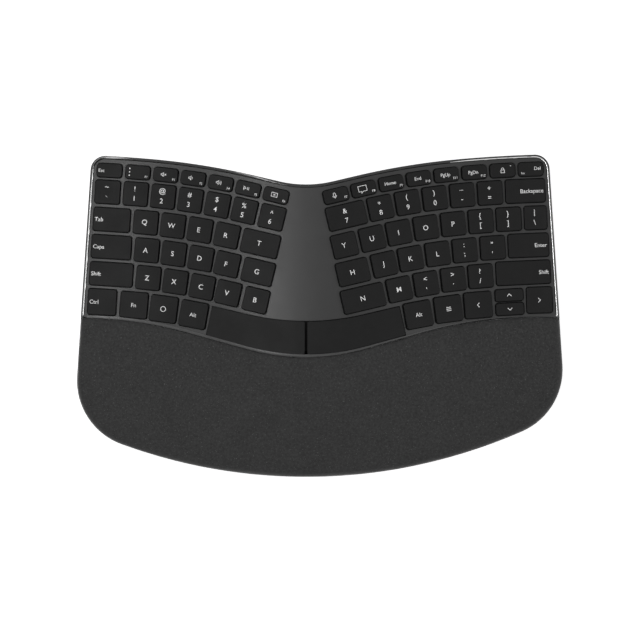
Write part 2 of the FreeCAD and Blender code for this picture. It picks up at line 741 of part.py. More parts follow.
def make_rim(outline, behind):
    """Side and rear wall with a rounded bead, and a ledge inside for the deck."""
    ledge = RIM_WIDTH + RIM_STEP_WIDTH
    ring = raised(outline, FLOOR_TOP + SEAT_GAP, TALL).cut(raised(inset_face(outline, ledge), 0, TALL))
    ring = ring.common(behind).common(under(-RIM_PROUD))
    above = raised(inset_face(outline, RIM_WIDTH), 0, TALL).cut(under(DECK_SKIRT_DEPTH + SEAT_GAP))
    ring = biggest(ring.cut(above))
    long_edges = [e for e in top_edges(ring, -RIM_PROUD) if e.Length > 2 * RIM_WIDTH]
    parts["rim_frame"] = rounded(ring, long_edges, RIM_BEAD_RADIUS)


def make_deck(outline):
    """Domed top plate with a skirt, bosses under the spine and a well for each cap."""
    face = inset_face(outline, RIM_WIDTH + SEAT_GAP).common(rear_face(-SEAM_GAP)).Faces[0]
    deck = biggest(raised(face, 0, TALL).common(under(0)))
    inner = raised(inset_face(face, DECK_SKIRT_WALL), -1, TALL).common(under(DECK_THICKNESS))
    deck = deck.cut(under(DECK_SKIRT_DEPTH)).cut(inner)
    foot = PLATE_DEPTH - MEMBRANE_THICKNESS - 2 * STACK_GAP
    for y in SPINE_BOSSES:
        boss = rod(SPLIT_X, y, 0, BOSS_RADIUS, TALL)
        deck = deck.fuse(boss.common(under(DECK_THICKNESS / 2)).cut(under(foot)))
    wells = [seat.place(well_shape(seat.width, seat.depth, seat.corner)) for seat in key_seats()]
    wells += [raised(space_face(side, WELL_CLEARANCE), 0, TALL) for side in (-1, 1)]
    parts["key_deck"] = biggest(deck.cut(wells))


def make_palm_rest(outline):
    """Padded cover over a moulded base, in front of the seam."""
    front = outline.cut(rear_face(0.0)).Faces[0]
    pad = biggest(raised(front, FLOOR_TOP + SEAM_GAP / 2, TALL).common(under(0)))
    outer = [e for e in top_edges(pad, 0) if not on_seam(e)]
    pad = rounded(pad, outer, PAD_EDGE_RADIUS)
    inner = inset_face(outline, PAD_THICKNESS).cut(rear_face(0.0)).Faces[0]
    parts["palm_rest_pad"] = biggest(pad.cut(raised(inner, -1, TALL).common(under(PAD_THICKNESS))))

    seat_depth = PAD_THICKNESS + SEAM_GAP
    face = inset_face(outline, seat_depth).cut(rear_face(SEAT_GAP)).Faces[0]
    base = raised(face, FLOOR_TOP + SEAT_GAP, TALL).common(under(seat_depth))
    hollow = raised(inset_face(face, BASE_WALL), -1, TALL).common(under(seat_depth + BASE_WALL))
    base = base.cut(hollow)
    for x, y in PALM_SCREWS:
        boss = rod(x, y, FLOOR_TOP + SEAT_GAP, BOSS_RADIUS, TALL)
        base = base.fuse(boss.common(under(seat_depth + BASE_WALL / 2)))
    holes = [rod(x, y, 0, SCREW_RADIUS + STACK_GAP, SCREW_HEAD_Z + SCREW_LENGTH + 1) for x, y in PALM_SCREWS]
    parts["palm_rest_base"] = biggest(base.cut(holes))


def on_seam(edge):
    """Whether an edge runs along the line between deck and palm rest."""
    spot = edge.discretize(3)[1]
    u = abs(spot.x - SPLIT_X)
    s = u
    for _ in range(20):
        s += u - seam.at(s)[0]
    return abs(spot.y - seam.at(s)[1]) < 2 * SEAM_GAP


def make_stack(outline):
    """Steel plate, printed membrane, and each key's dome, scissor and wire."""
    margin = RIM_WIDTH + RIM_STEP_WIDTH + SEAM_GAP
    face = inset_face(outline, margin).common(rear_face(-SEAM_GAP - DECK_SKIRT_WALL - PLATE_MARGIN)).Faces[0]
    plate = raised(face, 0, TALL).common(under(PLATE_DEPTH)).cut(under(PLATE_DEPTH + PLATE_THICKNESS))
    slot = box(BOARD_X, TAIL_Y, 0, TAIL_WIDTH + 2 * TAIL_ROOM, TAIL_THICKNESS + 2 * TAIL_ROOM, TALL)
    holes = [rod(x, y, 0, SCREW_RADIUS + STACK_GAP, TALL) for x, y in PLATE_SCREWS]
    parts["key_plate"] = biggest(plate.cut([slot] + holes))

    low, high = PLATE_DEPTH - STACK_GAP, PLATE_DEPTH - STACK_GAP - MEMBRANE_THICKNESS
    sheet = raised(inset_face(face, PLATE_MARGIN), 0, TALL).common(under(high)).cut(under(low))
    parts["membrane_circuit"] = biggest(sheet.cut(holes))

    domes, frames, wires, lights = [], [], [], []
    floor = high - STACK_GAP
    for seat in switch_seats():
        base = -floor * seat.normal.z
        domes.append(seat.place(dome_shape(seat.depth, base)))
        frames.append(seat.place(scissor_shape(seat.depth, base)))
        if seat.width > WIRED_WIDTH:
            wires.append(seat.place(wire_shape(seat.width, seat.depth, base)))
    for row, name, offsets in ((left_rows, "f1", LIGHT_SPACING), (right_rows, "lock", [0.0])):
        seat = row["function"][name]
        x, low = -(seat.width / 2 - CAP_WALL - LIGHT_SIZE), -floor * seat.normal.z + STACK_GAP
        for y in offsets:
            corner = Vector(x - LIGHT_SIZE / 2, y - LIGHT_SIZE / 2, low)
            chip = Part.makeBox(LIGHT_SIZE, LIGHT_SIZE, LIGHT_HEIGHT, corner)
            lights.append(seat.place(chip))
    parts["rubber_domes"] = Part.makeCompound(domes)
    parts["scissor_frames"] = Part.makeCompound(frames)
    parts["stabiliser_wires"] = Part.makeCompound(wires)
    parts["status_lights"] = Part.makeCompound(lights)


def switch_seats():
    return key_seats() + [space_seat(side) for side in (-1, 1)]


def room(depth):
    """Half depths of a cap's outer and inner scissor frames."""
    spare = LOW_CAP_ROOM if depth < LOW_CAP_DEPTH else SCISSOR_ROOM
    outer = depth / 2 - CAP_WALL - spare
    return outer, outer - SCISSOR_BAR - SCISSOR_GAP


def dome_shape(depth, base):
    """Rubber dome: a hollow cone on a flange, in the seat's frame."""
    flange = min(DOME_FLANGE_RADIUS, room(depth)[1] - SCISSOR_BAR - SCISSOR_GAP)
    foot, neck, wall = DOME_FOOT_SHARE * flange, DOME_NECK_SHARE * flange, DOME_WALL_SHARE * flange
    low = base + STACK_GAP
    top = CAP_RISE - CAP_ROOF - DOME_GAP
    ceiling, flange_top = top - DOME_ROOF, low + DOME_FLANGE_HEIGHT
    profile = [(0, top), (neck, top), (neck, top - DOME_ROOF / 2), (foot, flange_top),
               (flange, flange_top), (flange, low), (foot - wall, low), (neck - wall, ceiling),
               (0, ceiling)]
    wire = Part.makePolygon([Vector(r, 0, z) for r, z in profile + profile[:1]])
    return Part.Face(wire).revolve(Vector(0, 0, 0), Vector(0, 0, 1), 360)


def tilted_ring(length, half_depth, angle, height):
    """Rectangular frame that leans about its middle, in the seat's frame."""
    ring = box(0, 0, -SCISSOR_BAR / 2, length, 2 * half_depth, SCISSOR_BAR)
    ring = ring.cut(box(0, 0, -1, length - 2 * SCISSOR_BAR, 2 * (half_depth - SCISSOR_BAR), 2))
    ring.rotate(Vector(0, 0, 0), Vector(0, 1, 0), angle)
    ring.translate(Vector(0, 0, height))
    return ring


def scissor_shape(depth, base):
    """Two frames that cross on short pivots, in the seat's frame."""
    outer, inner = room(depth)
    low = base + SCISSOR_BAR / 2 + 4 * STACK_GAP
    high = CAP_RISE - CAP_ROOF - SCISSOR_BAR / 2 - 4 * STACK_GAP
    angle = math.degrees(math.asin((high - low) / (SCISSOR_LENGTH + SCISSOR_BAR)))
    middle = (low + high) / 2
    pivot = Part.makeCylinder(SCISSOR_BAR / 2, 2 * outer, Vector(0, -outer, middle), Vector(0, 1, 0))
    pivot = pivot.cut(box(0, 0, middle - 1, 2, 2 * (inner - SCISSOR_BAR), 2))
    rings = tilted_ring(SCISSOR_LENGTH, outer, angle, middle)
    rings = rings.fuse([tilted_ring(SCISSOR_LENGTH, inner, -angle, middle), pivot])
    return biggest(rings)


def wire_shape(width, depth, base):
    """Steel wire that keeps a wide cap level: one long run and two bent legs."""
    reach = min(width / 2 - CAP_WALL - WIRE_INSET, WIRE_REACH)
    y = depth / 2 - CAP_WALL - SCISSOR_ROOM / 2
    top = CAP_RISE - CAP_ROOF - WIRE_RADIUS - WIRE_DROP
    low = base + WIRE_RADIUS + WIRE_CLEARANCE
    run = Part.makeCylinder(WIRE_RADIUS, 2 * reach, Vector(-reach, y, top), Vector(1, 0, 0))
    for side in (-1, 1):
        fall = Vector(0, -WIRE_LEG, low - top)
        leg = Part.makeCylinder(WIRE_RADIUS, fall.Length, Vector(side * reach, y, top), fall)
        run = run.fuse([leg, Part.makeSphere(WIRE_RADIUS, Vector(side * reach, y, top))])
    return biggest(run)


def make_bottom(outline):
    """Floor with its posts, bay and pockets, and everything that is held by it."""
    floor = raised(outline, FOOT_HEIGHT, FLOOR_TOP)
    low_edges = [e for e in floor.Edges if e.BoundBox.ZMax < FOOT_HEIGHT + 0.01]
    floor = rounded(floor, low_edges, FLOOR_EDGE_RADIUS)
    ledge = RIM_WIDTH + RIM_STEP_WIDTH + SEAM_GAP
    ring = raised(inset_face(outline, ledge), FLOOR_TOP - STACK_GAP, FLOOR_TOP + LOCATING_HEIGHT)
    ring = ring.cut(raised(inset_face(outline, ledge + LOCATING_WALL), 0, TALL))
    ring = ring.common(raised(rear_face(-SEAM_GAP - BASE_WALL), 0, TALL))
    solids = [ring]
    for x, y in POSTS + PLATE_SCREWS:
        post = rod(x, y, FLOOR_TOP - STACK_GAP, POST_RADIUS, TALL)
        solids.append(post.common(under(PLATE_DEPTH + PLATE_THICKNESS + STACK_GAP)))
    for x, y in BOARD_POSTS:
        solids.append(rod(x, y, FLOOR_TOP - STACK_GAP, BOARD_POST_RADIUS,
                          BOARD_Z - FLOOR_TOP))
    bay_top = FLOOR_TOP + 2 * BATTERY_RADIUS + 2 * BAY_ROOM
    solids.append(box(SPLIT_X, BAY_Y, FLOOR_TOP - STACK_GAP, BAY_LENGTH + 2 * BAY_WALL,
                      BAY_DEPTH + 2 * BAY_WALL, bay_top + BAY_WALL - FLOOR_TOP))
    for side in (-1, 1):
        solids.append(box(side * LEG_X, LEG_Y, FLOOR_TOP - STACK_GAP, POCKET_WIDTH + 2 * BAY_WALL,
                          POCKET_LENGTH + 2 * BAY_WALL, POCKET_TOP + POCKET_ROOF - FLOOR_TOP))
    case = floor.fuse(solids)
    case = case.cut(case_cuts(bay_top))
    parts["bottom_case"] = biggest(case)
    make_feet_and_screws()
    make_battery_bay(bay_top)
    make_legs()
    make_switch()
    make_board()


def case_cuts(bay_top):
    """Openings of the bottom case: bay, door recess, pockets, slot, feet and screws."""
    cuts = [box(SPLIT_X, BAY_Y, 0, BAY_LENGTH, BAY_DEPTH, bay_top)]
    recess = FOOT_HEIGHT + DOOR_THICKNESS + DOOR_GAP / 2
    cuts.append(box(SPLIT_X, BAY_Y, 0, BAY_LENGTH + 2 * DOOR_LIP, BAY_DEPTH + 2 * DOOR_LIP, recess))
    pin = BAY_LENGTH + 2 * DOOR_LIP + 2 * DOOR_PIN_LENGTH + DOOR_GAP
    cuts.append(Part.makeCylinder(DOOR_PIN_RADIUS + PIN_CLEARANCE, pin,
                                  Vector(SPLIT_X - pin / 2, DOOR_HINGE_Y, DOOR_HINGE_Z), Vector(1, 0, 0)))
    for side in (-1, 1):
        cuts.append(box(side * LEG_X, LEG_Y, 0, POCKET_WIDTH, POCKET_LENGTH, POCKET_TOP))
        pin = LEG_WIDTH + 2 * LEG_PIN_LENGTH + DOOR_GAP
        cuts.append(Part.makeCylinder(LEG_PIN_RADIUS + PIN_CLEARANCE, pin,
                                      Vector(side * LEG_X - pin / 2, LEG_HINGE_Y, LEG_HINGE_Z),
                                      Vector(1, 0, 0)))
    cuts.append(box(SWITCH_X, SWITCH_Y, 0, KNOB_WIDTH + SWITCH_TRAVEL + 2 * DOOR_GAP,
                    KNOB_DEPTH + 2 * DOOR_GAP, FLOOR_TOP + 1))
    cuts += [rod(x, y, 0, FOOT_RADIUS + SEAT_GAP, FOOT_HEIGHT + FOOT_RECESS) for x, y in FEET]
    for x, y in PALM_SCREWS:
        cuts.append(rod(x, y, 0, SCREW_HEAD_RADIUS + SEAT_GAP, SCREW_HEAD_Z + STACK_GAP))
        cuts.append(rod(x, y, 0, SCREW_RADIUS + SEAT_GAP, FLOOR_TOP + 1))
    for x, y in PLATE_SCREWS:
        cuts.append(rod(x, y, 0, SCREW_HEAD_RADIUS + SEAT_GAP, plate_screw_z(x, y) + STACK_GAP))
        cuts.append(rod(x, y, 0, SCREW_RADIUS + SEAT_GAP, TALL))
    return cuts


def plate_screw_z(x, y):
    """Height of the underside of the wall that a plate screw's head pulls against."""
    return top_height(x, y) - PLATE_DEPTH - PLATE_THICKNESS - PLATE_SCREW_GRIP


def screw_shape(x, y, seat_z, length):
    """Pan head screw that points up, with a cross recess."""
    screw = rod(x, y, seat_z - SCREW_HEAD_HEIGHT, SCREW_HEAD_RADIUS, SCREW_HEAD_HEIGHT)
    screw = screw.fuse(rod(x, y, seat_z - STACK_GAP, SCREW_RADIUS, length))
    recess = SCREW_HEAD_HEIGHT / 2
    for width, depth in ((SCREW_SLOT, SCREW_HEAD_RADIUS), (SCREW_HEAD_RADIUS, SCREW_SLOT)):
        screw = screw.cut(box(x, y, seat_z - SCREW_HEAD_HEIGHT - 0.1, width, depth, recess + 0.1))
    return biggest(screw)


def make_feet_and_screws():
    feet = []
    for x, y in FEET:
        foot = rod(x, y, 0, FOOT_RADIUS, FOOT_HEIGHT + FOOT_RECESS - STACK_GAP)
        feet.append(foot.makeFillet(FOOT_ROUND, [e for e in foot.Edges if e.BoundBox.ZMax < 0.01]))
    parts["rubber_feet"] = Part.makeCompound(feet)
    screws = [screw_shape(x, y, SCREW_HEAD_Z, SCREW_LENGTH) for x, y in PALM_SCREWS]
    for x, y in PLATE_SCREWS:
        z = plate_screw_z(x, y)
        screws.append(screw_shape(x, y, z, PLATE_SCREW_GRIP + PLATE_THICKNESS + STACK_GAP))
    parts["case_screws"] = Part.makeCompound(screws)


def make_battery_bay(bay_top):
    """Two cells side by side, their contacts, and the door under them."""
    cells, z = [], FLOOR_TOP + BATTERY_RADIUS
    start = SPLIT_X - BATTERY_LENGTH / 2
    for side in (-1, 1):
        y = BAY_Y + side * (BATTERY_RADIUS + BAY_ROOM / 2)
        turn = Vector(side, 0, 0)
        tail = Vector(SPLIT_X - side * BATTERY_LENGTH / 2, y, z)
        cell = Part.makeCylinder(BATTERY_RADIUS, BATTERY_LENGTH - CELL_NUB, tail, turn)
        nub = Part.makeCylinder(CELL_NUB_RADIUS, BATTERY_LENGTH, tail, turn)
        cells.append(biggest(cell.fuse(nub)))
    parts["batteries"] = Part.makeCompound(cells)

    contacts = []
    for end in (-1, 1):
        x = SPLIT_X + end * (BAY_LENGTH / 2 - CONTACT_THICKNESS)
        for side in (-1, 1):
            y = BAY_Y + side * (BATTERY_RADIUS + BAY_ROOM / 2)
            plate = box(x, y, FLOOR_TOP + CONTACT_LIFT, CONTACT_THICKNESS, CONTACT_SIZE, CONTACT_SIZE)
            tip = SPLIT_X + end * (BATTERY_LENGTH / 2 + SEAT_GAP)
            cone = Part.makeCone(CELL_NUB_RADIUS, 2 * CELL_NUB_RADIUS, abs(x - tip),
                                 Vector(tip, y, z), Vector(end, 0, 0))
            contacts.append(biggest(plate.fuse(cone)))
    parts["battery_contacts"] = Part.makeCompound(contacts)

    width = BAY_LENGTH + 2 * DOOR_LIP - 2 * DOOR_GAP
    front = BAY_Y - BAY_DEPTH / 2 - DOOR_LIP + DOOR_GAP
    low = FOOT_HEIGHT + SEAT_GAP
    thick = DOOR_THICKNESS - SEAT_GAP
    door = Part.makeBox(width, DOOR_HINGE_Y - front, thick, Vector(SPLIT_X - width / 2, front, low))
    for radius, length in ((thick / 2, width), (DOOR_PIN_RADIUS, width + 2 * DOOR_PIN_LENGTH)):
        start = Vector(SPLIT_X - length / 2, DOOR_HINGE_Y, DOOR_HINGE_Z)
        door = door.fuse(Part.makeCylinder(radius, length, start, Vector(1, 0, 0)))
    grooves = [box(SPLIT_X, front + DOOR_GROOVE_MARGIN + i * DOOR_GROOVE_PITCH, 0,
                   DOOR_GROOVE_LENGTH, DOOR_GROOVE_WIDTH, low + DOOR_GROOVE_DEPTH)
               for i in range(DOOR_GROOVES)]
    parts["battery_door"] = biggest(door.cut(grooves))


def make_legs():
    """Fold-out tilt legs, stored flat in their pockets."""
    for side, name in ((-1, "tilt_leg_left"), (1, "tilt_leg_right")):
        x, low = side * LEG_X, LEG_HINGE_Z - LEG_THICKNESS / 2
        front = LEG_HINGE_Y - LEG_LENGTH
        leg = Part.makeBox(LEG_WIDTH, LEG_LENGTH, LEG_THICKNESS, Vector(x - LEG_WIDTH / 2, front, low))
        tip = [e for e in leg.Edges if e.BoundBox.YMax < front + 0.01 and e.BoundBox.XLength > 1]
        leg = leg.makeFillet(LEG_TIP_RADIUS, tip)
        recess = box(x, front + LEG_RECESS_START + LEG_RECESS_LENGTH / 2, 0, LEG_WIDTH - 2 * LEG_FRAME,
                     LEG_RECESS_LENGTH, low + LEG_RECESS_DEPTH)
        leg = leg.cut(recess)
        pin = LEG_WIDTH + 2 * LEG_PIN_LENGTH
        for radius, length in ((LEG_THICKNESS / 2, LEG_WIDTH), (LEG_PIN_RADIUS, pin)):
            leg = leg.fuse(Part.makeCylinder(radius, length, Vector(x - length / 2, LEG_HINGE_Y, LEG_HINGE_Z),
                                             Vector(1, 0, 0)))
        parts[name] = biggest(leg)


def make_switch():
    """Power slider that shows under the case, and the switch above it."""
    x = SWITCH_X - SWITCH_TRAVEL / 2
    knob = box(x, SWITCH_Y, FOOT_HEIGHT + SEAT_GAP, KNOB_WIDTH, KNOB_DEPTH, FLOOR_TOP - FOOT_HEIGHT)
    knob = knob.cut([box(x + i * KNOB_GROOVE_PITCH, SWITCH_Y, 0, KNOB_GROOVE_WIDTH, 2 * KNOB_DEPTH,
                         FOOT_HEIGHT + SEAT_GAP + KNOB_GROOVE_DEPTH) for i in (-1, 0, 1)])
    flange = box(x, SWITCH_Y, FLOOR_TOP + SEAT_GAP, 2 * KNOB_WIDTH + SWITCH_TRAVEL, 2 * KNOB_DEPTH,
                 FLANGE_HEIGHT)
    parts["power_slider"] = biggest(knob.fuse(flange))
    inner = 2 * KNOB_WIDTH + 2 * SWITCH_TRAVEL + 2 * DOOR_GAP
    deep = 2 * KNOB_DEPTH + 2 * DOOR_GAP
    body = box(SWITCH_X, SWITCH_Y, FLOOR_TOP + STACK_GAP, inner + 2 * SWITCH_WALL,
               deep + 2 * SWITCH_WALL, SWITCH_HEIGHT)
    hollow = box(SWITCH_X, SWITCH_Y, 0, inner, deep, FLOOR_TOP + SEAT_GAP + FLANGE_HEIGHT + DOOR_GAP)
    parts["power_switch"] = biggest(body.cut(hollow))


def make_board():
    """Main board with its chips, and the tail that rises to the membrane."""
    z = BOARD_Z + STACK_GAP
    board = box(BOARD_X, BOARD_Y, z, BOARD_WIDTH, BOARD_DEPTH, BOARD_THICKNESS)
    top = z + BOARD_THICKNESS
    for dx, dy, width, depth, height in CHIPS:
        board = board.fuse(box(BOARD_X + dx, BOARD_Y + dy, top - STACK_GAP, width, depth, height))
    socket = box(BOARD_X, TAIL_Y, top - STACK_GAP, TAIL_WIDTH + 2 * SOCKET_WALL, SOCKET_DEPTH,
                 SOCKET_HEIGHT)
    parts["main_board"] = biggest(board.fuse(socket))
    low = top + SOCKET_HEIGHT
    tail = box(BOARD_X, TAIL_Y, low, TAIL_WIDTH, TAIL_THICKNESS, TALL).common(under(PLATE_DEPTH))
    parts["flex_tail"] = biggest(tail)


if __name__ == "__main__":
    os.makedirs("parts", exist_ok=True)
    make_caps()
    make_shells()
    for name, shape in parts.items():
        shape.exportStep(f"parts/{name}.step")
        if not shape.isValid():
            print("not valid:", name)
    print(len(parts), "parts")
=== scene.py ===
import logging
import math
from dataclasses import dataclass, field
from enum import Enum
from typing import Callable, Iterable, Sequence, TypeAlias

import bmesh
import bpy
from mathutils import Matrix, Vector
from mathutils.bvhtree import BVHTree


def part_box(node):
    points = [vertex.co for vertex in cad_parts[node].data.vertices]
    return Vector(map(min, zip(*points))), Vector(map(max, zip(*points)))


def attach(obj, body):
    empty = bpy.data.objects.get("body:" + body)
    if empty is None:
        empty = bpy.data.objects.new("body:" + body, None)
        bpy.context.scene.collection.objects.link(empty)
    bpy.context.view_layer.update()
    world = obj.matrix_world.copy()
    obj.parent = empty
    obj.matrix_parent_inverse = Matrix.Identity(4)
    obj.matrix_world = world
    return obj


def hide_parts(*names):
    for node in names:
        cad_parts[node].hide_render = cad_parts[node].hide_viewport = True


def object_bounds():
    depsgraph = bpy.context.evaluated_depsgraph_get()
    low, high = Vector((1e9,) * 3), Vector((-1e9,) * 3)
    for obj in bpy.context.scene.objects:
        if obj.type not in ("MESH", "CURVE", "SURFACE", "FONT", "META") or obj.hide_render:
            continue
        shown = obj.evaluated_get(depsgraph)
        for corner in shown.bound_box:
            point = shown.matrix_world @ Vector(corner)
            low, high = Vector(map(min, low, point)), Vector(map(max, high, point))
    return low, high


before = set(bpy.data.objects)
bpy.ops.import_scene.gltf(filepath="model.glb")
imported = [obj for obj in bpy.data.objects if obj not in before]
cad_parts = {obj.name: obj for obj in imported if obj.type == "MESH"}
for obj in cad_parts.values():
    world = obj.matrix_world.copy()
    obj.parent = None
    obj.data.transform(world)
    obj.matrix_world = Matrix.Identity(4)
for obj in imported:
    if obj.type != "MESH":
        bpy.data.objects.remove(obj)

CAD_BOX = [list(corner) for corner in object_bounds()]
MM = 0.001
# Points closer than this are one and the same.
MERGE = 0.001 * MM
# Corners of a CAD node's loose triangles are welded within this distance.
WELD = 0.002 * MM
# Stands in for zero where a value is divided by.
NEXT_TO_NONE = 1e-9
WHITE = (1, 1, 1, 1)
log = logging.getLogger("keyboard")

Number: TypeAlias = "Term | float"
Spot: TypeAlias = tuple[float, float]


class Term:
    """A node socket that plain arithmetic turns into Math nodes."""

    def __init__(self, tree: bpy.types.NodeTree, socket: bpy.types.NodeSocket) -> None:
        """Args:
            tree: the node tree that the arithmetic is added to.
            socket: the output socket that holds the value.
        """
        self.tree = tree
        self.socket = socket

    @staticmethod
    def of(operation: str, *items: Number) -> "Term":
        """Add one Math node.

        Args:
            operation: the node's operation.
            items: its inputs, at least one of them a Term.

        Returns:
            The node's result.
        """
        tree = next(item.tree for item in items if isinstance(item, Term))
        node = tree.nodes.new("ShaderNodeMath")
        node.operation = operation
        for index, item in enumerate(items):
            if isinstance(item, Term):
                tree.links.new(item.socket, node.inputs[index])
            else:
                node.inputs[index].default_value = item
        return Term(tree, node.outputs[0])

    def __add__(self, other: Number) -> "Term":
        """Sum of two values."""
        return Term.of("ADD", self, other)

    def __sub__(self, other: Number) -> "Term":
        """Difference of two values."""
        return Term.of("SUBTRACT", self, other)

    def __mul__(self, other: Number) -> "Term":
        """Product of two values."""
        return Term.of("MULTIPLY", self, other)

    def __truediv__(self, other: Number) -> "Term":
        """Quotient of two values."""
        return Term.of("DIVIDE", self, other)

    def top(self, other: Number) -> "Term":
        """The larger of two values."""
        return Term.of("MAXIMUM", self, other)

    def low(self, other: Number) -> "Term":
        """The smaller of two values."""
        return Term.of("MINIMUM", self, other)

    def size(self) -> "Term":
        """The value without its sign."""
        return Term.of("ABSOLUTE", self)

    def sign(self) -> "Term":
        """The sign of the value."""
        return Term.of("SIGN", self)

    def root(self) -> "Term":
        """The square root of the value."""
        return Term.of("SQRT", self)

    def above(self, level: Number, gain: float) -> "Term":
        """How far the value is over a level, steepened and kept within 0 and 1."""
        return ((self - level) * gain).top(0.0).low(1.0)


def add_node(tree: bpy.types.NodeTree, kind: str, **settings: object) -> bpy.types.Node:
    """Add a node and set its properties.

    Args:
        tree: the tree it is added to.
        kind: the node's type name.
        settings: properties by name.

    Returns:
        The node.
    """
    node = tree.nodes.new(kind)
    for name, value in settings.items():
        setattr(node, name, value)
    return node


def wire(tree: bpy.types.NodeTree, node: bpy.types.Node, **inputs: object) -> bpy.types.Node:
    """Link or set a node's inputs by name, with underscores for spaces.

    Args:
        tree: the tree that the node is in.
        node: the node.
        inputs: a socket, a Term or a plain value for each input.

    Returns:
        The node.
    """
    for name, value in inputs.items():
        socket = node.inputs[name.replace("_", " ")]
        value = value.socket if isinstance(value, Term) else value
        if isinstance(value, bpy.types.NodeSocket):
            tree.links.new(value, socket)
        else:
            socket.default_value = value
    return node


# Shader groups


class ShaderGroup:
    """A shared effect: a node group with named inputs and outputs, built once."""

    made: dict[str, bpy.types.NodeTree] = {}

    def __init__(self, name: str, inputs: dict[str, float], outputs: Sequence[str]) -> None:
        """Args:
            name: the group's name.
            inputs: float inputs with their usual values.
            outputs: names of the float outputs.
        """
        self.tree = bpy.data.node_groups.new(name, "ShaderNodeTree")
        self.tree.interface.new_socket("Place", in_out="INPUT", socket_type="NodeSocketVector")
        for key, value in inputs.items():
            socket = self.tree.interface.new_socket(key, in_out="INPUT", socket_type="NodeSocketFloat")
            socket.default_value = value
        for key in outputs:
            self.tree.interface.new_socket(key, in_out="OUTPUT", socket_type="NodeSocketFloat")
        self.entry = self.tree.nodes.new("NodeGroupInput")
        self.exit = self.tree.nodes.new("NodeGroupOutput")
        ShaderGroup.made[name] = self.tree

    def value(self, name: str) -> Term:
        """One of the group's inputs."""
        return Term(self.tree, self.entry.outputs[name])

    def noise(self, share: float, detail: float, stretch: Sequence[float] = (1, 1, 1)) -> Term:
        """Noise read at the group's place.

        Args:
            share: its scale as a share of the group's own.
            detail: octaves of finer noise.
            stretch: scale of the place along each axis.

        Returns:
            The noise value.
        """
        place = add_node(self.tree, "ShaderNodeVectorMath", operation="MULTIPLY")
        place.inputs[1].default_value = stretch
        self.tree.links.new(self.entry.outputs["Place"], place.inputs[0])
        node = add_node(self.tree, "ShaderNodeTexNoise")
        wire(self.tree, node, Vector=place.outputs[0], Scale=self.value("Scale") * share, Detail=detail)
        return Term(self.tree, node.outputs[0])

    def put(self, name: str, value: Term) -> None:
        """Send a value to an output."""
        self.tree.links.new(value.socket, self.exit.inputs[name])


def weighted(*parts: tuple[Term, float]) -> Term:
    """Sum of values, each times its weight."""
    first, *others = (value * weight for value, weight in parts)
    return sum(others, first)


def build_groups() -> None:
    """Build the shared effects: moulded grain, heathered cloth, drawn streaks and handling marks."""
    grain = ShaderGroup("moulded_grain", {"Scale": 2600.0}, ["Height", "Shade"])
    fine = grain.noise(share=1.0, detail=2.0)
    broad = grain.noise(share=0.06, detail=3.0)
    grain.put("Height", fine)
    grain.put("Shade", weighted((fine, 0.35), (broad, 0.65)))

    cloth = ShaderGroup("heathered_cloth", {"Scale": 700.0, "Fleck": 0.62}, ["Height", "Shade", "Fleck"])
    nap = cloth.noise(share=2.4, detail=3.0)
    clump = cloth.noise(share=0.55, detail=4.0)
    patch = cloth.noise(share=0.05, detail=2.0)
    fleck = cloth.noise(share=1.25, detail=1.0)
    cloth.put("Height", weighted((nap, 0.6), (clump, 0.4)))
    cloth.put("Shade", weighted((nap, 0.3), (clump, 0.5), (patch, 0.2)))
    cloth.put("Fleck", fleck.above(cloth.value("Fleck"), gain=14.0))

    drawn = ShaderGroup("drawn_streaks", {"Scale": 900.0}, ["Height", "Shade"])
    streak = drawn.noise(share=1.0, detail=4.0, stretch=(0.03, 1, 1))
    cloud = drawn.noise(share=0.04, detail=2.0)
    drawn.put("Height", streak)
    drawn.put("Shade", weighted((streak, 0.7), (cloud, 0.3)))

    touch = ShaderGroup("handling_marks", {"Scale": 55.0}, ["Mask"])
    touch.put("Mask", touch.noise(share=1.0, detail=5.0).above(0.42, gain=4.0))


# Finishes


# Numbers of the colour sockets of a Mix node
MIX_UNDER, MIX_OVER, MIX_RESULT = 6, 7, 2


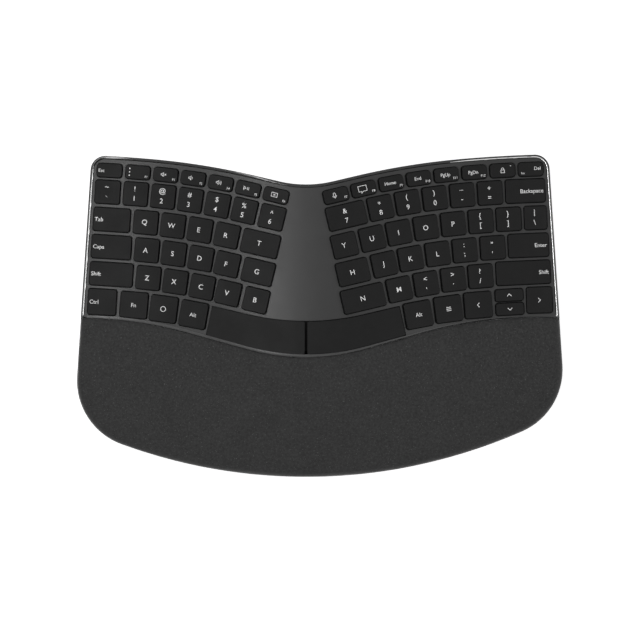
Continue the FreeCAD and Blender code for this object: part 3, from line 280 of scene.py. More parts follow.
@dataclass(frozen=True)
class Finish:
    """A procedural material: two tones, a texture group, roughness and relief."""

    name: str
    slot: str
    dark: tuple[float, float, float]
    light: tuple[float, float, float]
    group: str = "moulded_grain"
    scale: float = 2600.0
    rough: tuple[float, float] = (0.45, 0.6)
    relief: float = 0.02 * MM
    metallic: float = 0.0
    specular: float = 0.5
    sheen: float = 0.0
    coat: float = 0.0
    fleck: tuple[float, float, float] | None = None
    fleck_level: float = 0.62
    ramp: tuple[float, float] = (0.36, 0.64)
    bump: float = 0.6
    sheen_rough: float = 0.4
    coat_rough: float = 0.12

    def material(self) -> bpy.types.Material:
        """Build the material, or give it back if it was built before.

        Returns:
            The material.
        """
        label = f"{self.name}_finish"
        known = bpy.data.materials.get(label)
        if known:
            return known
        made = bpy.data.materials.new(label)
        made.use_nodes = True
        tree = made.node_tree
        shader = tree.nodes["Principled BSDF"]
        coords = tree.nodes.new("ShaderNodeTexCoord").outputs["Object"]
        texture = self.place_group(tree, self.group, coords, Scale=self.scale)
        marks = self.place_group(tree, "handling_marks", coords)
        shade = self.tones(tree, texture.outputs["Shade"])
        if self.fleck:
            shade = self.flecks(tree, texture, shade)
        low, high = self.rough
        mask = Term(tree, marks.outputs["Mask"]) * (high - low) + low
        bump = wire(tree, add_node(tree, "ShaderNodeBump"), Strength=self.bump, Distance=self.relief,
                    Height=texture.outputs["Height"])
        wire(tree, shader, Base_Color=shade, Roughness=mask, Normal=bump.outputs[0],
             Metallic=self.metallic, Specular_IOR_Level=self.specular,
             Sheen_Weight=self.sheen, Sheen_Roughness=self.sheen_rough,
             Coat_Weight=self.coat, Coat_Roughness=self.coat_rough)
        made.diffuse_color = (*self.light, 1)
        return made

    @staticmethod
    def place_group(tree: bpy.types.NodeTree, name: str, coords: bpy.types.NodeSocket,
                    **values: float) -> bpy.types.Node:
        """Put a shared effect into a material.

        Args:
            tree: the material's tree.
            name: the group's name.
            coords: where the effect is read.
            values: this material's own inputs.

        Returns:
            The group's node.
        """
        node = tree.nodes.new("ShaderNodeGroup")
        node.node_tree = ShaderGroup.made[name]
        return wire(tree, node, Place=coords, **values)

    def tones(self, tree: bpy.types.NodeTree, factor: bpy.types.NodeSocket) -> bpy.types.NodeSocket:
        """Mix the two tones by a mask.

        Args:
            tree: the material's tree.
            factor: the mask, which swings round a half.

        Returns:
            The mixed colour.
        """
        ramp = tree.nodes.new("ShaderNodeValToRGB")
        for element, place, tone in zip(ramp.color_ramp.elements, self.ramp, (self.dark, self.light)):
            element.position = place
            element.color = (*tone, 1)
        tree.links.new(factor, ramp.inputs[0])
        return ramp.outputs[0]

    def flecks(self, tree: bpy.types.NodeTree, texture: bpy.types.Node,
               shade: bpy.types.NodeSocket) -> bpy.types.NodeSocket:
        """Lay the flecks' colour over the tones.

        Args:
            tree: the material's tree.
            texture: the node of the texture group.
            shade: the colour under the flecks.

        Returns:
            The colour with its flecks.
        """
        wire(tree, texture, Fleck=self.fleck_level)
        mix = add_node(tree, "ShaderNodeMix", data_type="RGBA")
        under, over, result = mix.inputs[MIX_UNDER], mix.inputs[MIX_OVER], mix.outputs[MIX_RESULT]
        tree.links.new(texture.outputs["Fleck"], mix.inputs["Factor"])
        tree.links.new(shade, under)
        over.default_value = (*self.fleck, 1)
        return result


def grey(level: float, warmth: float = 0.0) -> tuple[float, float, float]:
    """A grey tone, a little warmer or cooler.

    Args:
        level: linear brightness.
        warmth: share that red gains and blue loses.

    Returns:
        The colour.
    """
    return level * (1 + warmth), level, level * (1 - warmth)


KEYCAP = Finish("satin_keycap", "keycap_plastic", grey(0.005), grey(0.0065), scale=3400.0,
                rough=(0.5, 0.58), relief=0.012 * MM, specular=0.14)
DECK = Finish("deck_plastic", "deck_plastic", grey(0.0065), grey(0.0085), scale=3000.0,
              rough=(0.38, 0.44), relief=0.015 * MM, specular=0.46)
RIM = Finish("rim_gloss", "rim_plastic", grey(0.009), grey(0.012), scale=1800.0,
             rough=(0.1, 0.14), relief=0.003 * MM, specular=0.4, coat=0.2)
# Painted highlight: a bright metal line laid along the rim's inner edge, narrowing out where the rim's
# highlight ends.
HIGHLIGHT_LINE = Finish("painted_highlight_line", "rim_plastic", grey(0.58), grey(0.66), "drawn_streaks", 2200.0,
              rough=(0.14, 0.2), relief=0.001 * MM, metallic=1.0)
# Painted highlight: the lip strip is several times lighter than the deck, for light caught along the
# deck's front lip.
LIP_HIGHLIGHT = Finish("painted_lip_highlight", "deck_plastic", grey(0.034), grey(0.042), scale=3000.0,
             rough=(0.3, 0.36), relief=0.01 * MM)
CASE = Finish("moulded_case", "case_plastic", grey(0.012), grey(0.016), scale=1500.0,
              rough=(0.53, 0.56), relief=0.04 * MM, specular=0.3)
BASE = Finish("moulded_base", "base_plastic", grey(0.03), grey(0.04), rough=(0.5, 0.6))
CLOTH = Finish("heathered_cloth", "pad_fabric", grey(0.028), grey(0.05), "heathered_cloth", 1100.0,
               rough=(0.85, 0.95), relief=0.14 * MM, specular=0.1, sheen=0.5,
               fleck=grey(0.09), fleck_level=0.67)
INK = Finish("legend_ink", "keycap_plastic", grey(0.8), grey(0.88), rough=(0.45, 0.55),
             relief=0.004 * MM)
LAMP = Finish("light_window", "light_lens", grey(0.66), grey(0.74), scale=1200.0, rough=(0.2, 0.3),
              relief=0.002 * MM, coat=0.4)
FOOT = Finish("foot_rubber", "foot_rubber", grey(0.012), grey(0.02), scale=900.0, rough=(0.75, 0.9),
              relief=0.05 * MM, specular=0.3)
SCREW = Finish("blackened_steel", "screw_steel", grey(0.16), grey(0.24), "drawn_streaks", 1400.0,
               rough=(0.3, 0.42), relief=0.006 * MM, metallic=1.0)
# Partly painted shade: the plate and the film under the caps are near black. This is partly their own
# dark colour and partly shade painted into the gaps round the caps and between the space bar's halves.
PLATE_AND_GAP_SHADE = Finish("dark_plate", "plate_steel", grey(0.006), grey(0.01), "drawn_streaks", 700.0,
               rough=(0.45, 0.55), relief=0.006 * MM, metallic=1.0)
WIRE = Finish("drawn_wire", "wire_steel", grey(0.55), grey(0.65), "drawn_streaks", 1600.0,
              rough=(0.2, 0.3), relief=0.003 * MM, metallic=1.0)
FILM_AND_GAP_SHADE = Finish("membrane_film", "membrane_film", grey(0.004), grey(0.007), scale=900.0,
              rough=(0.5, 0.6), relief=0.004 * MM, specular=0.2)
DOME = Finish("dome_rubber", "dome_rubber", grey(0.6, 0.02), grey(0.7, 0.01), scale=1200.0,
              rough=(0.6, 0.75))
SCISSOR = Finish("scissor_plastic", "scissor_plastic", grey(0.64, 0.03), grey(0.74, 0.02),
                 rough=(0.4, 0.5))
BOARD = Finish("solder_mask", "board_laminate", (0.01, 0.09, 0.035), (0.015, 0.13, 0.05), scale=500.0,
               rough=(0.3, 0.4), coat=0.3)
TAIL = Finish("tail_film", "tail_film", (0.4, 0.24, 0.07), (0.5, 0.32, 0.1), scale=600.0,
              rough=(0.3, 0.4))
CELL = Finish("cell_jacket", "cell_jacket", (0.05, 0.06, 0.09), (0.08, 0.09, 0.13), scale=400.0,
              rough=(0.25, 0.35), coat=0.4)
NICKEL = Finish("nickel_contact", "contact_nickel", grey(0.62, 0.04), grey(0.72, 0.03),
                "drawn_streaks", 900.0, rough=(0.18, 0.3), relief=0.004 * MM, metallic=1.0)
SWITCH = Finish("switch_plastic", "switch_plastic", grey(0.012), grey(0.018), rough=(0.45, 0.55))


# Meshes


def settle(piece: bpy.types.Object, finish: Finish, body: str, *stands_for: str) -> None:
    """Dress a finished piece, let it ride and hide the CAD nodes that it stands for.

    Args:
        piece: the object.
        finish: its material.
        body: the body that it moves with.
        stands_for: CAD nodes that it replaces.
    """
    piece.data.materials.append(finish.material())
    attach(piece, body)
    if stands_for:
        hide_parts(*stands_for)
    log.info("%s rides on %s", piece.name, body)


def placed(name: str, data: bpy.types.ID) -> bpy.types.Object:
    """Add an object to the scene.

    Args:
        name: the object's name.
        data: its mesh, curve, light or camera.

    Returns:
        The object, at the origin.
    """
    thing = bpy.data.objects.new(name, data)
    bpy.context.scene.collection.objects.link(thing)
    return thing


def new_piece(name: str, mesh: bpy.types.Mesh) -> bpy.types.Object:
    """Add a mesh of that name to the scene as an object at the origin.

    Args:
        name: the piece's name.
        mesh: its mesh.

    Returns:
        The object.
    """
    mesh.name = name
    return placed(name, mesh)


def finished(work: bmesh.types.BMesh, name: str, sharp_deg: float | None = None) -> bpy.types.Mesh:
    """Turn a working mesh into a plain one and free it.

    Args:
        work: the working mesh.
        name: the plain mesh's name.
        sharp_deg: shade it smooth but for edges bent more than this, or leave it flat.

    Returns:
        The plain mesh.
    """
    mesh = bpy.data.meshes.new(name)
    work.to_mesh(mesh)
    work.free()
    if sharp_deg is not None:
        mesh.shade_smooth()
        mesh.set_sharp_from_angle(angle=math.radians(sharp_deg))
    return mesh


def plain_mesh(thing: bpy.types.Object) -> bpy.types.Mesh:
    """Plain mesh of an object as its modifiers leave it."""
    shown = thing.evaluated_get(bpy.context.evaluated_depsgraph_get())
    return bpy.data.meshes.new_from_object(shown)


def bake_in(piece: bpy.types.Object, modifier: bpy.types.Modifier) -> None:
    """Make a modifier's result the piece's own mesh.

    Args:
        piece: the object.
        modifier: its only modifier.
    """
    mesh, old = plain_mesh(piece), piece.data
    piece.modifiers.remove(modifier)
    piece.data = mesh
    bpy.data.meshes.remove(old)
    mesh.name = piece.name


def loose_parts(mesh: bpy.types.Mesh) -> list[list[int]]:
    """Find the parts of a mesh that hang together.

    Args:
        mesh: the mesh.

    Returns:
        The vertex numbers of each part.
    """
    near: list[list[int]] = [[] for _ in mesh.vertices]
    for edge in mesh.edges:
        a, b = edge.vertices
        near[a].append(b)
        near[b].append(a)
    found, seen = [], [False] * len(near)
    for seed in range(len(near)):
        if seen[seed]:
            continue
        seen[seed], part = True, [seed]
        # The part grows while it is walked.
        for index in part:
            for other in near[index]:
                if not seen[other]:
                    seen[other] = True
                    part.append(other)
        found.append(part)
    return found


def joined(meshes: Iterable[tuple[bpy.types.Mesh, Matrix]], sharp_deg: float) -> bpy.types.Mesh:
    """Join placed meshes into one, with normals outwards.

    Args:
        meshes: each mesh with its place.
        sharp_deg: edges bent more than this stay sharp.

    Returns:
        The joined mesh.
    """
    whole = bmesh.new()
    for mesh, place in meshes:
        part = bmesh.new()
        part.from_mesh(mesh)
        bmesh.ops.transform(part, matrix=place, verts=part.verts)
        bmesh.ops.remove_doubles(part, verts=part.verts, dist=MERGE)
        bmesh.ops.recalc_face_normals(part, faces=part.faces)
        step = finished(part, "step")
        whole.from_mesh(step)
        bpy.data.meshes.remove(step)
    return finished(whole, "joined", sharp_deg)


@dataclass(frozen=True)
class Dome:
    """Rule of the keyboard's top surface, in metres."""

    split_x: float = -9.35 * MM
    edge_height: float = 11.0 * MM
    rise: float = 26.0 * MM
    reach_left: float = 150.0 * MM
    reach_right: float = 155.0 * MM
    crest_y: float = -5.0 * MM
    rear_y: float = 109.4 * MM
    front_y: float = -109.25 * MM
    rear_drop: float = 0.12
    front_drop: float = 0.78
    step: float = 0.05 * MM

    def height(self, x: float, y: float) -> float:
        """Height of the surface over a place.

        Args:
            x: place across.
            y: place towards the rear.

        Returns:
            The height.
        """
        reach = self.reach_right if x > self.split_x else self.reach_left
        across = 0.5 * (1 + math.cos(math.pi * min(abs(x - self.split_x), reach) / reach))
        rear, front = (self.rear_drop, self.rear_y), (self.front_drop, self.front_y)
        drop, end = rear if y > self.crest_y else front
        along = 1 - drop * ((y - self.crest_y) / (end - self.crest_y)) ** 2
        return self.edge_height + self.rise * across * along

    def normal(self, x: float, y: float) -> Vector:
        """Direction that the surface faces at a place.

        Args:
            x: place across.
            y: place towards the rear.

        Returns:
            The direction, one unit long.
        """
        slope_x = self.height(x + self.step, y) - self.height(x - self.step, y)
        slope_y = self.height(x, y + self.step) - self.height(x, y - self.step)
        return Vector((-slope_x, -slope_y, 2 * self.step)).normalized()


DOME_TOP = Dome()


def merged(node: str) -> bmesh.types.BMesh:
    """Working copy of a CAD node's mesh, with its loose triangles welded.

    Args:
        node: the CAD node.

    Returns:
        The working mesh.
    """
    work = bmesh.new()
    work.from_mesh(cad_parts[node].data)
    bmesh.ops.remove_doubles(work, verts=work.verts, dist=WELD)
    return work


def smooth_copy(node: str, name: str, sharp_deg: float = 32.0, lift: float = 0.0) -> bpy.types.Object:
    """Copy a CAD node's mesh and shade it smooth.

    Large flat faces are shaded flat and the small ones beside them bend.

    Args:
        node: the CAD node.
        name: name of the copy.
        sharp_deg: edges bent more than this stay sharp.
        lift: height of the node's top over the keyboard's top surface.

    Returns:
        The copy as an object.
    """
    work = merged(node)
    bmesh.ops.dissolve_degenerate(work, dist=MERGE, edges=work.edges)
    piece = new_piece(name, finished(work, name, sharp_deg))
    weights = piece.modifiers.new("weights", "WEIGHTED_NORMAL")
    weights.keep_sharp = True
    bake_in(piece, weights)
    follow_dome(piece.data, lift, math.cos(math.radians(sharp_deg)))
    return piece


def follow_dome(mesh: bpy.types.Mesh, lift: float, level: float, near: float = 0.12 * MM) -> None:
    """Shade the faces that lie on the top surface by that surface's own rule.

    Args:
        mesh: the mesh.
        lift: height of its top over the top surface.
        level: least cosine between a face and the surface for its corners to follow it.
        near: how far from the surface a point still counts as on it.
    """
    ways: list[Vector | None] = []
    for vert in mesh.vertices:
        x, y, z = vert.co
        on_top = abs(z - lift - DOME_TOP.height(x, y)) < near
        ways.append(DOME_TOP.normal(x, y) if on_top else None)
    corners = [corner.vector.copy() for corner in mesh.corner_normals]
    for face in mesh.polygons:
        for index in face.loop_indices:
            way = ways[mesh.loops[index].vertex_index]
            if way is not None and face.normal.dot(way) > level:
                corners[index] = way
    mesh.normals_split_custom_set(corners)


# Key caps


@dataclass
class CapSeat:
    """Frame and size of one cap, read from its CAD solid."""

    origin: Vector
    along: Vector
    across: Vector
    normal: Vector
    width: float
    depth: float

    def matrix(self) -> Matrix:
        """Place of the cap's own frame."""
        rows = [(*axis, 0) for axis in (self.along, self.across, self.normal)]
        return Matrix([*rows, (*self.origin, 1)]).transposed()


def main_direction(areas: dict[tuple, list], upright: Vector | None = None,
                   slack: float = 0.02) -> Vector:
    """The direction that the most face area looks in.

    Args:
        areas: summed area and direction by rounded direction.
        upright: only directions square to this one count.
        slack: largest cosine that still counts as square.

    Returns:
        The direction.
    """
    fitting = [(area, way) for area, way in areas.values()
               if upright is None or abs(way.dot(upright)) < slack]
    return max(fitting, key=lambda item: item[0])[1]


def cap_seats(node: str, skirt: float) -> list[CapSeat]:
    """Find each cap of a CAD node, from left to right.

    Args:
        node: the CAD node.
        skirt: how far a cap reaches below its seat.

    Returns:
        The seats.
    """
    mesh, seats = finished(merged(node), "seats"), []
    for part in loose_parts(mesh):
        inside = set(part)
        points = [mesh.vertices[index].co.copy() for index in part]
        faces = [(face.normal.copy(), face.area) for face in mesh.polygons if face.vertices[0] in inside]
        seats.append(read_seat(points, faces, skirt))
    bpy.data.meshes.remove(mesh)
    return sorted(seats, key=lambda seat: seat.origin.x)


def read_seat(points: Sequence[Vector], faces: Sequence[tuple[Vector, float]], skirt: float,
              digits: int = 2) -> CapSeat:
    """Work out a cap's frame from its points and faces.

    Args:
        points: the cap's vertices.
        faces: normal and area of each face.
        skirt: how far the cap reaches below its seat.
        digits: directions that agree to this many digits are one.

    Returns:
        The seat.
    """
    areas: dict[tuple, list] = {}
    for way, area in faces:
        key = tuple(round(value, digits) for value in way)
        known = areas.setdefault(key, [0.0, way])
        known[0] += area
    normal = main_direction(areas)
    normal = normal if normal.z > 0 else -normal
    wall = main_direction(areas, normal)
    along = wall if abs(wall.x) > abs(wall.y) else wall.cross(normal)
    along = (along if along.x > 0 else -along).normalized()
    across = normal.cross(along).normalized()
    spans = []
    for axis in (along, across, normal):
        reach = [point.dot(axis) for point in points]
        spans.append((min(reach), max(reach)))
    centre = [(low + high) / 2 for low, high in spans[:2]]
    origin = along * centre[0] + across * centre[1] + normal * (spans[2][0] + skirt)
    width, depth = (high - low for low, high in spans[:2])
    return CapSeat(origin, along, across, normal, width, depth)


# Numbers of the whole-number sockets of a Compare node
INT_A, INT_B = 2, 3


@dataclass
class CapTree:
    """Geometry Nodes tree of a key cap: rounded, dished, hollow, with a soft top edge."""

    corner: float = 1.8 * MM
    short_corner: float = 2.4 * MM
    short_depth: float = 9.5 * MM
    edge: float = 0.55 * MM
    dish: float = 0.38 * MM
    rise: float = 2.3 * MM
    skirt: float = 0.6 * MM
    wall: float = 1.1 * MM
    roof: float = 1.2 * MM
    draft: float = 0.12 * MM
    least_radius: float = 0.05 * MM
    short_slack: float = 0.1 * MM
    flat_cells: int = 5
    corner_cells: int = 4
    edge_steps: int = 4
    sizes: dict[tuple[float, float], bpy.types.Mesh] = field(default_factory=dict)

    def __post_init__(self) -> None:
        """Build the tree."""
        self.tree = bpy.data.node_groups.new("key_cap", "GeometryNodeTree")
        face = self.tree.interface
        for name in self.inputs(0.0, 0.0):
            face.new_socket(name, in_out="INPUT", socket_type="NodeSocketFloat")
        face.new_socket("Material", in_out="INPUT", socket_type="NodeSocketMaterial")
        face.new_socket("Geometry", in_out="OUTPUT", socket_type="NodeSocketGeometry")
        self.entry = self.tree.nodes.new("NodeGroupInput")
        spot = add_node(self.tree, "GeometryNodeInputNamedAttribute", data_type="FLOAT_VECTOR")
        spot.inputs["Name"].default_value = "spot"
        parts = self.add("ShaderNodeSeparateXYZ", Vector=spot.outputs[0]).outputs
        self.u, self.v = Term(self.tree, parts["X"]), Term(self.tree, parts["Y"])
        ceiling = self.value("Rise") - self.value("Roof")
        roof = self.place(self.sheet(), None, self.value("Wall"), ceiling)
        flip = self.add("GeometryNodeFlipFaces", Mesh=roof)
        join = self.tree.nodes.new("GeometryNodeJoinGeometry")
        for part in (self.shell(), flip.outputs[0]):
            self.tree.links.new(part, join.inputs[0])
        merge = self.add("GeometryNodeMergeByDistance", Geometry=join.outputs[0], Distance=MERGE)
        real = self.add("GeometryNodeRealizeInstances", Geometry=merge.outputs[0])
        dress = self.add("GeometryNodeSetMaterial", Geometry=real.outputs[0],
                         Material=self.entry.outputs["Material"])
        end = self.tree.nodes.new("NodeGroupOutput")
        self.tree.links.new(dress.outputs[0], end.inputs[0])

    def inputs(self, width: float, depth: float) -> dict[str, float]:
        """The tree's sizes for one cap, by the names of its inputs.

        Args:
            width: the cap's width.
            depth: the cap's depth.

        Returns:
            Each size by name.
        """
        short = abs(depth - self.short_depth) < self.short_slack
        return {"Width": width, "Depth": depth,
                "Corner Radius": self.short_corner if short else self.corner,
                "Edge Radius": self.edge, "Dish": self.dish, "Rise": self.rise, "Skirt": self.skirt,
                "Wall": self.wall, "Roof": self.roof, "Draft": self.draft}

    def add(self, kind: str, **inputs: object) -> bpy.types.Node:
        """Add a node and wire its inputs."""
        return wire(self.tree, self.tree.nodes.new(kind), **inputs)

    def value(self, name: str) -> Term:
        """One of the tree's inputs."""
        return Term(self.tree, self.entry.outputs[name])

    def sheet(self) -> bpy.types.NodeSocket:
        """A flat grid that remembers where each point started.

        Returns:
            The grid's geometry.
        """
        count = 2 * (self.flat_cells + self.corner_cells) + 1
        grid = self.add("GeometryNodeMeshGrid", Size_X=2.0, Size_Y=2.0, Vertices_X=count,
                        Vertices_Y=count)
        where = self.tree.nodes.new("GeometryNodeInputPosition")
        store = add_node(self.tree, "GeometryNodeStoreNamedAttribute", data_type="FLOAT_VECTOR",
                         domain="POINT")
        wire(self.tree, store, Geometry=grid.outputs[0], Name="spot", Value=where.outputs[0])
        return store.outputs[0]

    def place(self, shape: bpy.types.NodeSocket, chosen: bpy.types.NodeSocket | None, inset: Number,
              height: Term, dished: bool = False) -> bpy.types.NodeSocket:
        """Move points to their place on a rounded rectangle.

        Args:
            shape: the geometry.
            chosen: which points move, or all.
            inset: how far inside the cap's outline the edge lies.
            height: height over the seat.
            dished: whether the cap's dish is added to the height.

        Returns:
            The moved geometry.
        """
        radius = (self.value("Corner Radius") - inset).top(self.least_radius)
        share = self.flat_cells / (self.flat_cells + self.corner_cells)
        runs = [axis.size() for axis in (self.u, self.v)]
        bends = [(run - share).top(0.0) * (1 / (1 - share)) * radius for run in runs]
        reach = (bends[0] * bends[0] + bends[1] * bends[1]).root().top(NEXT_TO_NONE)
        round_off = bends[0].top(bends[1]) / reach
        halves = [self.value(name) * 0.5 - inset for name in ("Width", "Depth")]
        x, y = (axis.sign() * ((run * (1 / share)).low(1.0) * (half - radius) + bend * round_off)
                for axis, run, bend, half in zip((self.u, self.v), runs, bends, halves))
        if dished:
            slope = x / (self.value("Width") * 0.5)
            height = height + slope * slope * self.value("Dish")
        spot = self.add("ShaderNodeCombineXYZ", X=x, Y=y, Z=height)
        move = self.add("GeometryNodeSetPosition", Geometry=shape, Position=spot.outputs[0])
        if chosen is not None:
            self.tree.links.new(chosen, move.inputs["Selection"])
        return move.outputs[0]

    def shell(self) -> bpy.types.NodeSocket:
        """Top, rounded edge, outer wall, foot and inner wall.

        Returns:
            The shell's geometry.
        """
        edge, draft, rise, wall = (self.value(name) for name in ("Edge Radius", "Draft", "Rise", "Wall"))
        foot, roof = self.value("Skirt") * -1.0, rise - self.value("Roof")
        shape = self.place(self.sheet(), None, edge + draft, rise, dished=True)
        rings = []
        for step in range(1, self.edge_steps + 1):
            turn = math.radians(90 * step / self.edge_steps)
            rings.append((edge * (1 - math.sin(turn)) + draft, rise - edge * (1 - math.cos(turn)), True))
        rings += [(0.0, foot, False), (wall, foot, False), (wall, roof, False)]
        for inset, height, dished in rings:
            faces = self.tree.nodes.new("GeometryNodeInputMeshEdgeNeighbors")
            rim = add_node(self.tree, "FunctionNodeCompare", data_type="INT", operation="EQUAL")
            self.tree.links.new(faces.outputs[0], rim.inputs[INT_A])
            rim.inputs[INT_B].default_value = 1
            pull = add_node(self.tree, "GeometryNodeExtrudeMesh", mode="EDGES")
            wire(self.tree, pull, Mesh=shape, Selection=rim.outputs[0], Offset_Scale=0.0)
            shape = self.place(pull.outputs["Mesh"], pull.outputs["Top"], inset, height, dished)
        return shape

    def mesh(self, width: float, depth: float) -> bpy.types.Mesh:
        """Evaluate the tree for one size.

        Args:
            width: the cap's width.
            depth: the cap's depth.

        Returns:
            The cap's mesh in its own frame.
        """
        size = (round(width, 5), round(depth, 5))
        if size not in self.sizes:
            values = {**self.inputs(*size), "Material": KEYCAP.material()}
            self.sizes[size] = evaluate(self.tree, values)
        return self.sizes[size]


def evaluate(tree: bpy.types.NodeTree, values: dict[str, object]) -> bpy.types.Mesh:
    """Run a Geometry Nodes tree once and keep its result as a plain mesh.

    Args:
        tree: the tree.
        values: its inputs by name.

    Returns:
        The mesh.
    """
    holder = placed("holder", bpy.data.meshes.new("holder"))
    modifier = holder.modifiers.new("make", "NODES")
    modifier.node_group = tree
    sockets = {item.name: item.identifier for item in tree.interface.items_tree
               if item.in_out == "INPUT"}
    for name, value in values.items():
        modifier[sockets[name]] = value
    mesh, spare = plain_mesh(holder), holder.data
    holder.modifiers.remove(modifier)
    bpy.data.objects.remove(holder)
    bpy.data.meshes.remove(spare)
    return mesh


# Legends


# Heights of the legends, in millimetres: letters, words, words on short caps and their numbers
LETTER = 3.5
WORD = 2.8
SHORT_WORD = 2.35
SMALL = 1.6
# Places of the legends, in millimetres from a cap's middle: half of a stack of two signs and the
# lift of its middle, the shift of letters and of works to the left, and a function cap's number
STACK = 3.2
STACK_LIFT = 0.2
SHIFT = -0.6
WORK_SHIFT = -1.0
TAG_X, TAG_Y = 7.3, -2.5
# A word's distance from its cap's end, in millimetres
MARGIN = 1.15
# Icons on short caps: size as a share of the others', and width of the line in millimetres
SHORT_ICON = 1.25
SHORT_STROKE = 0.34


class Anchor(Enum):
    """Which point of a legend its place gives."""

    LEFT = "LEFT"
    CENTRE = "CENTER"
    RIGHT = "RIGHT"


def circle(x: float, y: float, radius: float, start: float = 0.0, end: float = 360.0,
           count: int = 20) -> list[Spot]:
    """Points of a circle or an arc, in millimetres."""
    turns = [math.radians(start + (end - start) * i / count) for i in range(count + 1)]
    return [(x + radius * math.cos(t), y + radius * math.sin(t)) for t in turns]


SPEAKER = [(-1.5, -0.35), (-1.5, 0.35), (-0.9, 0.35), (-0.2, 1.0), (-0.2, -1.0), (-0.9, -0.35),
           (-1.5, -0.35)]


class Icon(Enum):
    """Plain line marks that stand for a key's work, as strokes in millimetres."""

    MUTE = (SPEAKER, [(0.4, 0.45), (1.3, -0.45)], [(0.4, -0.45), (1.3, 0.45)])
    QUIETER = (SPEAKER, circle(-0.3, 0, 0.9, -40, 40, 6))
    LOUDER = (SPEAKER, circle(-0.3, 0, 0.9, -40, 40, 6), circle(-0.3, 0, 1.6, -40, 40, 8))
    PLAY = ([(-1.5, -0.8), (-1.5, 0.8), (-0.2, 0), (-1.5, -0.8)], [(0.6, -0.8), (0.6, 0.8)],
            [(1.3, -0.8), (1.3, 0.8)])
    SCREEN = ([(-1.6, -1.1), (-1.6, 1.1), (1.6, 1.1), (1.6, -1.1), (-1.6, -1.1)],
              [(-0.5, -0.4), (0.5, 0.4)], [(-0.5, 0.4), (0.5, -0.4)])
    MICROPHONE = (circle(0, 0.8, 0.55, 0, 180, 8) + circle(0, -0.1, 0.55, 180, 360, 8) + [(0.55, 0.8)],
                  circle(0, -0.1, 1.05, 180, 360, 10), [(0, -1.15), (0, -1.7)])
    NOTE = ([(-2.3, -1.3), (-2.3, 1.7), (2.3, 1.7), (2.3, -1.3), (0.2, -1.3), (-0.8, -2.1),
             (-0.8, -1.3), (-2.3, -1.3)],)
    LOCK = ([(-1.2, -1.6), (-1.2, 0.3), (1.2, 0.3), (1.2, -1.6), (-1.2, -1.6)],
            [(0.75, 0.3), *circle(0, 0.9, 0.75, 0, 180, 10), (-0.75, 0.3)])
    RING = (circle(0, 0, 1.7),)
    LINES = ([(-1.6, 1.1), (1.6, 1.1)], [(-1.6, 0), (1.6, 0)], [(-1.6, -1.1), (1.6, -1.1)])
    LEFT = ([(0.75, 1.5), (-0.75, 0), (0.75, -1.5)],)
    RIGHT = ([(-0.75, 1.5), (0.75, 0), (-0.75, -1.5)],)
    UP = ([(-1.5, -0.7), (0, 0.8), (1.5, -0.7)],)
    DOWN = ([(-1.5, 0.7), (0, -0.8), (1.5, 0.7)],)
    DOT = ([(-0.35, 0), (0.35, 0)],)


@dataclass(frozen=True)
class Mark:
    """One legend: a word or an icon, and where it stands on its cap, in millimetres."""

    what: str | Icon
    x: float = 0.0
    y: float = 0.0
    height: float = LETTER
    anchor: Anchor = Anchor.CENTRE
    stroke: float = 0.42


def letters(row: str) -> list[list[Mark]]:
    """One centred letter for each cap."""
    return [[Mark(sign, SHIFT)] for sign in row]


def stacked(*pairs: str) -> list[list[Mark]]:
    """An upper and a lower sign for each cap."""
    return [[Mark(upper, SHIFT, STACK_LIFT + STACK), Mark(lower, SHIFT, STACK_LIFT - STACK)]
            for upper, lower in pairs]


def tag(number: int) -> Mark:
    """A function cap's number, at its lower right."""
    return Mark(f"F{number}", TAG_X, TAG_Y, SMALL, Anchor.RIGHT)


def worked(first: int, *works: str | Icon) -> list[list[Mark]]:
    """Function caps: the work of each in the middle and its number at the lower right.

    Args:
        first: number of the first cap.
        works: a word or an icon for each cap.

    Returns:
        The marks of each cap.
    """
    rows = []
    for number, what in enumerate(works, first):
        height = SHORT_WORD if isinstance(what, str) else SHORT_ICON * LETTER
        rows.append([Mark(what, WORK_SHIFT, STACK_LIFT, height, stroke=SHORT_STROKE), tag(number)])
    return rows


def word(text: str, anchor: Anchor = Anchor.CENTRE, height: float = WORD) -> list[list[Mark]]:
    """A word in the middle or near one end of a cap."""
    return [[Mark(text, 0.0, 0.0, height, anchor)]]


def lone(icon: Icon) -> list[list[Mark]]:
    """An icon in the middle of a cap."""
    return [[Mark(icon)]]


